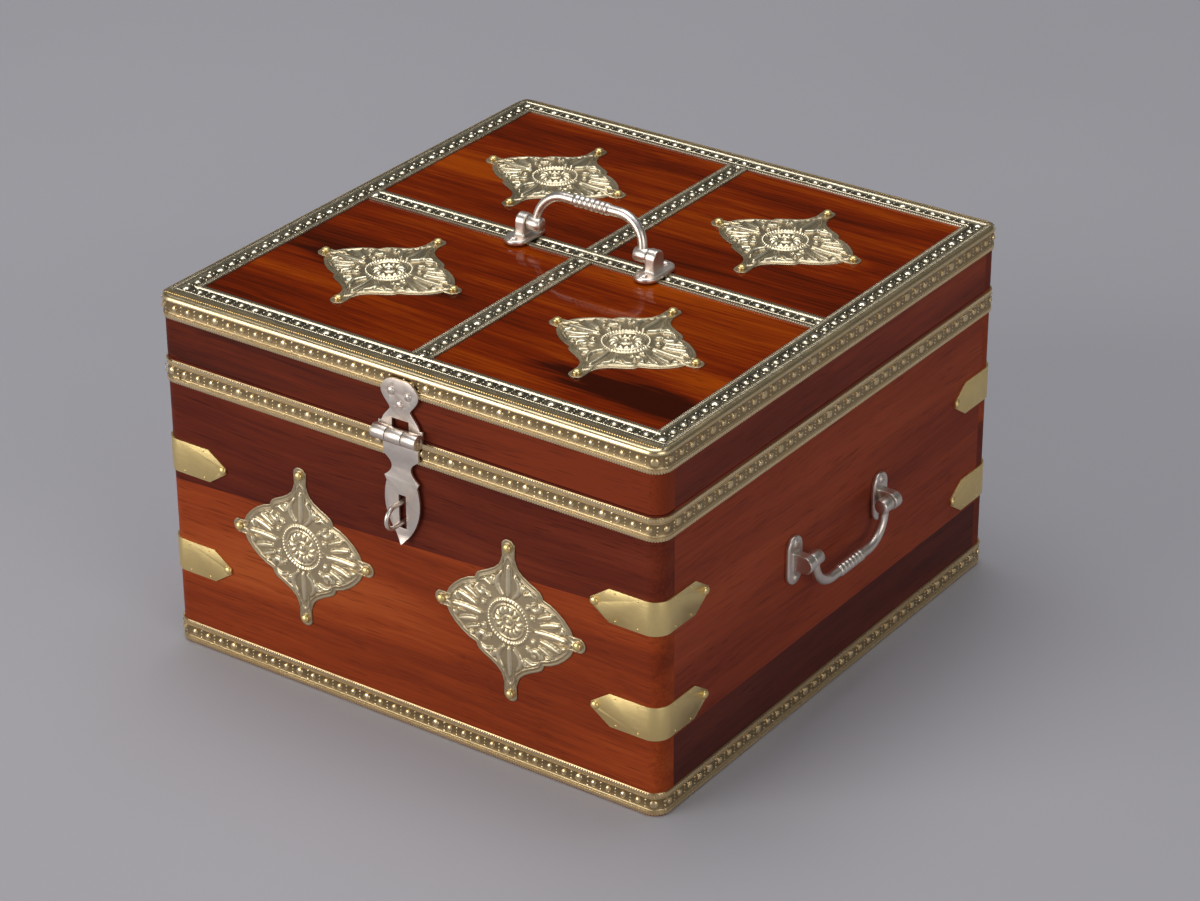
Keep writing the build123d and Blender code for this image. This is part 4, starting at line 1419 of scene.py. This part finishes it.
@dataclass
class Straps:
    """Plain brass straps round the upright corners, with small pins near their edges."""

    fasteners: Fasteners
    material: Material
    edge: float = 0.28 * MM
    pin_radius: float = 0.55 * MM
    pin_height: float = 0.3 * MM
    pin_inset: float = 1.7 * MM
    pin_reaches: tuple[float, ...] = (13 * MM, 26 * MM)

    def build(self) -> None:
        """Soften each strap and set its pins."""
        pins = []
        for end, side, level in product(("front", "back"), ("left", "right"), ("lower", "upper")):
            node = f"{end}_{side}_{level}_strap"
            piece = softened_copy(node, f"{node}_soft", self.edge)
            finish_piece(piece, Body.CASE, Slot.BRASS, node, material=self.material)
            pins += self.pins(node)
        piece = self.fasteners.heads("strap_pins", pins, self.pin_radius, self.pin_height,
                                     Head.DOME, self.material)
        finish_piece(piece, Body.CASE, Slot.BRASS)

    def pins(self, node: str) -> list[Seat]:
        """Give the places of one strap's pins.

        Args:
            node: name of the strap's node.

        Returns:
            Place and outward direction of each pin.
        """
        low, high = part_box(node)
        side = 1 if high.x > 0 else -1
        end = 1 if high.y > 0 else -1
        corner_x = high.x if side > 0 else low.x
        corner_y = high.y if end > 0 else low.y
        middle = (low.z + high.z) / 2
        half = (high.z - low.z) / 2 - self.pin_inset
        found = []
        for reach in self.pin_reaches:
            for step in (-1, 1):
                z = middle + step * half
                found.append((Vector((corner_x - side * reach, corner_y, z)), Vector((0, end, 0))))
                found.append((Vector((corner_x, corner_y - end * reach, z)), Vector((side, 0, 0))))
        return found


@dataclass
class Hasp:
    """Nickel hasp: leaf on the lid, swinging blade and wire staple."""

    material: Material
    lip_length: float = 5.6 * MM
    lip_out: float = 2.3 * MM
    lip_cuts: int = 6
    edge: float = 0.3 * MM

    def build(self) -> None:
        """Make the leaf, the blade, the pin and the staple."""
        for node in ("hasp_upper_leaf", "hasp_pin"):
            piece = softened_copy(node, f"{node}_soft", self.edge)
            finish_piece(piece, Body.LID, Slot.BRIGHT, node, material=self.material)
        staple = merged_copy("hasp_staple", "hasp_staple_wire")
        smooth_by_angle(staple, WIRE_SMOOTH)
        finish_piece(staple, Body.CASE, Slot.BRIGHT, "hasp_staple", material=self.material)
        finish_piece(self.blade(), Body.BLADE, Slot.BRIGHT, "hasp_blade", material=self.material)

    def blade(self) -> Piece:
        """Soften the blade and bend its tip outward.

        Returns:
            The blade, as a plain mesh.
        """
        piece = merged_copy("hasp_blade", "hasp_blade_soft")
        with opened(piece.data) as skin:
            join_flat_faces(skin)
            tip = min(vert.co.z for vert in skin.verts)
            for step in range(self.lip_cuts):
                height = tip + self.lip_length * (step + 1) / self.lip_cuts
                geometry = skin.verts[:] + skin.edges[:] + skin.faces[:]
                bmesh.ops.bisect_plane(skin, geom=geometry, plane_co=UP * height, plane_no=UP)
            for vert in skin.verts:
                share = (tip + self.lip_length - vert.co.z) / self.lip_length
                if share > 0:
                    vert.co.y -= self.lip_out * share**1.5
        ease_edges(piece, self.edge, 40)
        return piece


@dataclass
class Handles:
    """Cast drop handles on the lid and on both sides."""

    material: Material
    leg: float = 33.0 * MM
    reach: float = 18.0 * MM
    corner: float = 16.0 * MM
    thin: float = 2.3 * MM
    thick: float = 2.75 * MM
    bead: float = 0.6 * MM
    bead_pitch: float = 3.1 * MM
    bead_count: int = 7
    hub: float = 3.9 * MM
    trunnion: float = 2.0 * MM
    trunnion_length: float = 4.4 * MM
    tilt: float = radians(12.0)
    hub_edge: float = 0.9 * MM
    grip_steps: int = 60
    corner_steps: int = 48
    leg_steps: int = 4
    top_pivot: Place = (0.0, 2.5 * MM, 209.2 * MM)
    side_pivot: Place = (161.5 * MM, 0.0, 91.0 * MM)

    def path(self) -> list[tuple[float, float, float, float]]:
        """Give the line of the bail, from end to end.

        Returns:
            Place and direction at each step, each as two numbers: along the pivot's line and outward.
        """
        straight = self.reach - self.corner
        grip = self.leg - self.corner
        half = [(grip * step / self.grip_steps, self.reach, 1.0, 0.0) for step in range(self.grip_steps)]
        for step in range(self.corner_steps + 1):
            angle = pi / 2 * (1 - step / self.corner_steps)
            half.append((grip + self.corner * cos(angle), straight + self.corner * sin(angle),
                         sin(angle), -cos(angle)))
        half += [(self.leg, straight * (1 - step / self.leg_steps), 0.0, -1.0)
                 for step in range(1, self.leg_steps + 1)]
        other = [(-across, up, way, -rise) for across, up, way, rise in reversed(half[1:])]
        return other + half

    def girth(self, along: float, total: float) -> float:
        """Give the bail's radius.

        Args:
            along: distance from its middle.
            total: half its length.

        Returns:
            The radius, with the beads on the grip.
        """
        plain = self.thin + (self.thick - self.thin) * max(0.0, 1 - (along / total) ** 2)
        if abs(along) > self.bead_pitch * self.bead_count / 2:
            return plain
        return plain + self.bead * abs(cos(pi * along / self.bead_pitch)) ** 0.6

    def bail(self, node: str, pivot: Vector, axis: Vector, toward: Vector) -> Piece:
        """Sweep one bail and turn the two hubs at its ends.

        Args:
            node: name of the bail's node.
            pivot: middle of the line it turns about.
            axis: direction of that line.
            toward: direction of its reach.

        Returns:
            The bail, as a plain mesh.
        """
        side = axis.cross(toward)
        points: list[Vector] = []
        faces: list[list[int]] = []
        steps = self.path()
        gaps = [0.0]
        for one, two in zip(steps, steps[1:]):
            gaps.append(gaps[-1] + hypot(two[0] - one[0], two[1] - one[1]))
        half = gaps[-1] / 2
        rings = []
        for (across, up, way, rise), far in zip(steps, gaps):
            centre = pivot + axis * across + toward * up
            outward = toward * way - axis * rise
            rings.append((centre, outward, side, self.girth(far - half, half)))
        self.sweep(points, faces, rings)
        low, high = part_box(node)
        end = (high - low).dot(Vector(map(abs, axis))) / 2
        outer, inner = end - self.trunnion_length, self.leg - self.hub
        ease = self.hub_edge
        profile = [(inner, self.hub - 1.6 * ease), (inner + 0.3 * ease, self.hub - 0.5 * ease),
                   (inner + ease, self.hub), (outer - 0.7 * ease, self.hub),
                   (outer - 0.2 * ease, self.hub - 0.2 * ease), (outer, self.hub - 0.7 * ease),
                   (outer, self.trunnion), (end, self.trunnion)]
        for sign in (-1, 1):
            self.sweep(points, faces, [(pivot + axis * (sign * place), toward, side, radius)
                                       for place, radius in profile])
        piece = new_object(f"{node}_swept", mesh_from(f"{node}_swept", points, faces))
        face_outward(piece.data)
        smooth_by_angle(piece, WIRE_SMOOTH)
        return piece

    @staticmethod
    def sweep(points: list[Vector], faces: list[list[int]],
              rings: Sequence[tuple[Vector, Vector, Vector, float]], sides: int = 24) -> None:
        """Add a skin through rings, closed at both ends.

        Args:
            points: points so far, added to.
            faces: faces so far, added to.
            rings: centre, two directions and radius of each ring.
            sides: number of points in a ring.
        """
        base = len(points)
        for centre, one, two, radius in rings:
            for index in range(sides):
                angle = tau * index / sides
                points.append(centre + (one * cos(angle) + two * sin(angle)) * radius)
        for ring in range(len(rings) - 1):
            low, high = base + ring * sides, base + (ring + 1) * sides
            for index in range(sides):
                after = (index + 1) % sides
                faces.append([low + index, low + after, high + after, high + index])
        last = base + (len(rings) - 1) * sides
        faces.append([base + index for index in reversed(range(sides))])
        faces.append([last + index for index in range(sides)])

    def build(self) -> None:
        """Make the posts and the bail of each handle."""
        right = Vector(self.side_pivot)
        left = Vector((-right.x, right.y, right.z))
        lean = Vector((0, sin(self.tilt), cos(self.tilt)))
        along_x, along_y = Vector((1, 0, 0)), Vector((0, 1, 0))
        jobs = (("top", Body.LID, Body.TOP_BAIL, Vector(self.top_pivot), along_x, lean),
                ("right", Body.CASE, Body.RIGHT_BAIL, right, along_y, -UP),
                ("left", Body.CASE, Body.LEFT_BAIL, left, along_y, -UP))
        for side, fixed, moving, pivot, axis, toward in jobs:
            posts = cast_copy(f"{side}_handle_posts", f"{side}_handle_posts_cast")
            bail = self.bail(f"{side}_handle_bail", pivot, axis, toward)
            for piece, body, node in ((posts, fixed, "posts"), (bail, moving, "bail")):
                finish_piece(piece, body, Slot.BRIGHT, f"{side}_handle_{node}", material=self.material)


@dataclass
class Hinges:
    """Brass butt hinges at the back."""

    material: Material
    edge: float = 0.25 * MM

    def build(self) -> None:
        """Soften the leaves and the pins."""
        jobs = [(f"{side}_hinge_{owner}_leaf", body) for side in ("left", "right")
                for owner, body in (("case", Body.CASE), ("lid", Body.LID))]
        jobs.append(("hinge_pins", Body.CASE))
        for node, body in jobs:
            piece = softened_copy(node, f"{node}_soft", self.edge)
            finish_piece(piece, body, Slot.BRASS, node, material=self.material)


@dataclass
class Woodwork:
    """The boards of the case and the lid, each with its own figure."""

    def finishes(self) -> dict[str, WoodFinish]:
        """Give the finish of every board.

        Returns:
            One finish for each node.
        """
        red = ((0.075, 0.012, 0.007), (0.135, 0.021, 0.0095), (0.20, 0.036, 0.013))
        orange = ((0.19, 0.028, 0.008), (0.30, 0.048, 0.0105), (0.40, 0.080, 0.018))
        rust = ((0.16, 0.027, 0.013), (0.25, 0.043, 0.019), (0.33, 0.062, 0.024))
        dark = ((0.055, 0.014, 0.012), (0.092, 0.022, 0.016), (0.14, 0.031, 0.019))
        edge = ((0.11, 0.021, 0.013), (0.18, 0.033, 0.018), (0.26, 0.048, 0.022))
        front = ((0.07, 0.014, 0.008), (0.14, 0.022, 0.009), (0.22, 0.034, 0.010))
        panel = ((0.042, 0.0045, 0.0005), (0.185, 0.0170, 0.0007), (0.36, 0.056, 0.0009))
        pale = ((0.22, 0.11, 0.05), (0.34, 0.19, 0.10), (0.46, 0.28, 0.15))
        plan = {
            "front_upper_plank": (red, Grain.ALONG_X), "front_lower_plank": (orange, Grain.ALONG_X),
            "back_upper_plank": (orange, Grain.ALONG_X), "back_lower_plank": (red, Grain.ALONG_X),
            "right_upper_plank": (rust, Grain.ALONG_Y), "right_lower_plank": (dark, Grain.ALONG_Y),
            "left_upper_plank": (red, Grain.ALONG_Y), "left_lower_plank": (orange, Grain.ALONG_Y),
            "lid_front_rail": (front, Grain.ALONG_X), "lid_back_rail": (red, Grain.ALONG_X),
            "lid_right_rail": (edge, Grain.ALONG_Y), "lid_left_rail": (edge, Grain.ALONG_Y),
            "lid_panel": (panel, Grain.ALONG_X), "bottom_panel": (pale, Grain.ALONG_X),
        }
        flames = (Patch((0.106, -0.112), (0.060, 0.017), -0.65),
                  Patch((-0.080, -0.072), (0.055, 0.012), -0.55),
                  Patch((0.090, 0.075), (0.035, 0.020), 0.40))
        polished = {"coat": 0.25, "coat_roughness": 0.06, "specular": 0.0, "contrast": 1.1,
                    "patches": flames}
        special = {"lid_panel": polished, "lid_front_rail": {"drift": 2.2}}
        made = {}
        for index, (node, (colours, grain)) in enumerate(plan.items()):
            made[node] = WoodFinish(f"{node}_wood", *colours, grain=grain,
                                    offset=tuple(index * step for step in OFFSET_STEP),
                                    **special.get(node, {}))
        return made

    def build(self) -> None:
        """Put each board's finish on its node."""
        for node, finish in self.finishes().items():
            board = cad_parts[node]
            material = finish.build()
            if not board.material_slots:
                board.data.materials.append(material)
            for slot in board.material_slots:
                slot.material = material
            log.info("%s: dressed", node)


@dataclass(frozen=True)
class Lamp:
    """One soft square lamp that faces the box."""

    name: str
    place: Place
    size: float
    power: float
    colour: Colour

    def hang(self) -> None:
        """Put the lamp in the scene."""
        data = bpy.data.lights.new(self.name, "AREA")
        data.shape = "SQUARE"
        data.size = self.size
        data.energy = self.power
        data.color = self.colour
        lamp = bpy.data.objects.new(self.name, data)
        lamp.location = self.place
        lamp.rotation_euler = (AIM - lamp.location).to_track_quat("-Z", "Y").to_euler()
        bpy.context.scene.collection.objects.link(lamp)


@dataclass
class Studio:
    """Pale floor, soft lamps and the camera."""

    azimuth: float = 35.27
    elevation: float = 27.72
    roll: float = -0.31
    lens: float = 109.51
    sensor: float = 36.0
    far: float = 50.0
    place: Place = (0.9836, -1.3792, 0.9787)
    lamps: tuple[Lamp, ...] = (
        Lamp("key", (-1.4, -2.8, 1.1), 2.1, 60.0, (1.0, 0.98, 0.95)),
        Lamp("overhead", (-0.5, 0.4, 2.8), 2.0, 31.0, (0.98, 0.99, 1.0)),
        Lamp("fill", (2.8, -1.2, 1.2), 1.8, 23.0, (1.0, 0.98, 0.96)))
    floor_half: float = 9.0
    floor_cells: int = 24
    floor_dark: Colour = (0.39, 0.375, 0.40)
    floor_light: Colour = (0.42, 0.405, 0.43)
    floor_roughness: float = 0.75

    def camera(self) -> None:
        """Set the camera at the photograph's angle."""
        turn, lift, roll = (radians(angle) for angle in (self.azimuth, self.elevation, self.roll))
        forward = Vector((-sin(turn) * cos(lift), cos(turn) * cos(lift), -sin(lift)))
        right = forward.cross(UP).normalized()
        up = right.cross(forward)
        leant_right = right * cos(roll) + up * sin(roll)
        leant_up = up * cos(roll) - right * sin(roll)
        data = bpy.data.cameras.new("camera")
        data.lens = self.lens
        data.sensor_width = self.sensor
        data.clip_end = self.far
        camera = bpy.data.objects.new("camera", data)
        turned = Matrix((leant_right, leant_up, -forward)).transposed()
        camera.matrix_world = Matrix.Translation(self.place) @ turned.to_4x4()
        bpy.context.scene.collection.objects.link(camera)
        bpy.context.scene.camera = camera

    def world(self) -> None:
        """Light the scene from a plain sky, bright overhead and dimmer lower down."""
        world = bpy.data.worlds.new("sky")
        bpy.context.scene.world = world
        world.use_nodes = True
        sheet = Sheet(world.node_tree)
        way = sheet.node("ShaderNodeTexCoord").outputs["Generated"]
        height = sheet.node("ShaderNodeSeparateXYZ", {0: way}).outputs[2]
        colour = sheet.ramp(height, ((0.0, (0.50, 0.50, 0.50)), (0.06, (0.42, 0.42, 0.42)),
                                     (0.20, (0.10, 0.10, 0.09)), (0.78, (0.10, 0.10, 0.10)),
                                     (0.92, (0.64, 0.70, 0.78)), (1.0, (0.78, 0.84, 0.92))))
        sheet.feed(world.node_tree.nodes["Background"], {"Color": colour})

    def floor(self) -> None:
        """Lay a plain pale floor."""
        half, cells = self.floor_half, self.floor_cells
        steps = [half * (2 * index / cells - 1) for index in range(cells + 1)]
        points = [(x, y, 0.0) for y in steps for x in steps]
        row = cells + 1
        corners = [line * row + index for line in range(cells) for index in range(cells)]
        faces = [[corner, corner + 1, corner + row + 1, corner + row] for corner in corners]
        floor = new_object("floor", mesh_from("floor", points, faces))
        material, sheet, shader = new_material("pale_floor")
        place = sheet.node("ShaderNodeTexCoord").outputs["Object"]
        cloud = sheet.noise(place, 1.4, 3.0)
        colour = sheet.mix(sheet.span(cloud, 0.3, 0.7), (*self.floor_dark, 1.0), (*self.floor_light, 1.0))
        sheet.feed(shader, {"Base Color": colour, "Roughness": self.floor_roughness})
        dress(floor, material)

    def build(self) -> None:
        """Set the whole stage."""
        bpy.context.scene.view_settings.view_transform = "Standard"
        self.camera()
        self.world()
        self.floor()
        for lamp in self.lamps:
            lamp.hang()


def main() -> None:
    """Build and dress the whole box."""
    logging.basicConfig(level=logging.INFO, format="%(message)s")
    Studio().build()
    Woodwork().build()
    rows = EmbossTree()
    strips = EmbossedStrips(rows, STRIP_BRASS_PAINTED_SHADE.build())
    strips.wall_band("base_band", Body.CASE)
    strips.wall_band("rim_band", Body.CASE)
    strips.side_band()
    # The lid strips take the lit copy of the brass, with painted reflection and painted hollow shade.
    EmbossedStrips(rows, TOP_BRASS_PAINTED_REFLECTION.build()).lid_strips()
    Plaques(PLAQUE_BRASS_PAINTED_SHADE.build()).build()
    brass, nickel = PLAIN_BRASS.build(), NICKEL.build()
    fasteners = Fasteners(FastenerTree(), brass, nickel)
    fasteners.build()
    Straps(fasteners, brass).build()
    Hasp(nickel).build()
    Handles(nickel).build()
    Hinges(brass).build()


if __name__ == "__main__":
    main()
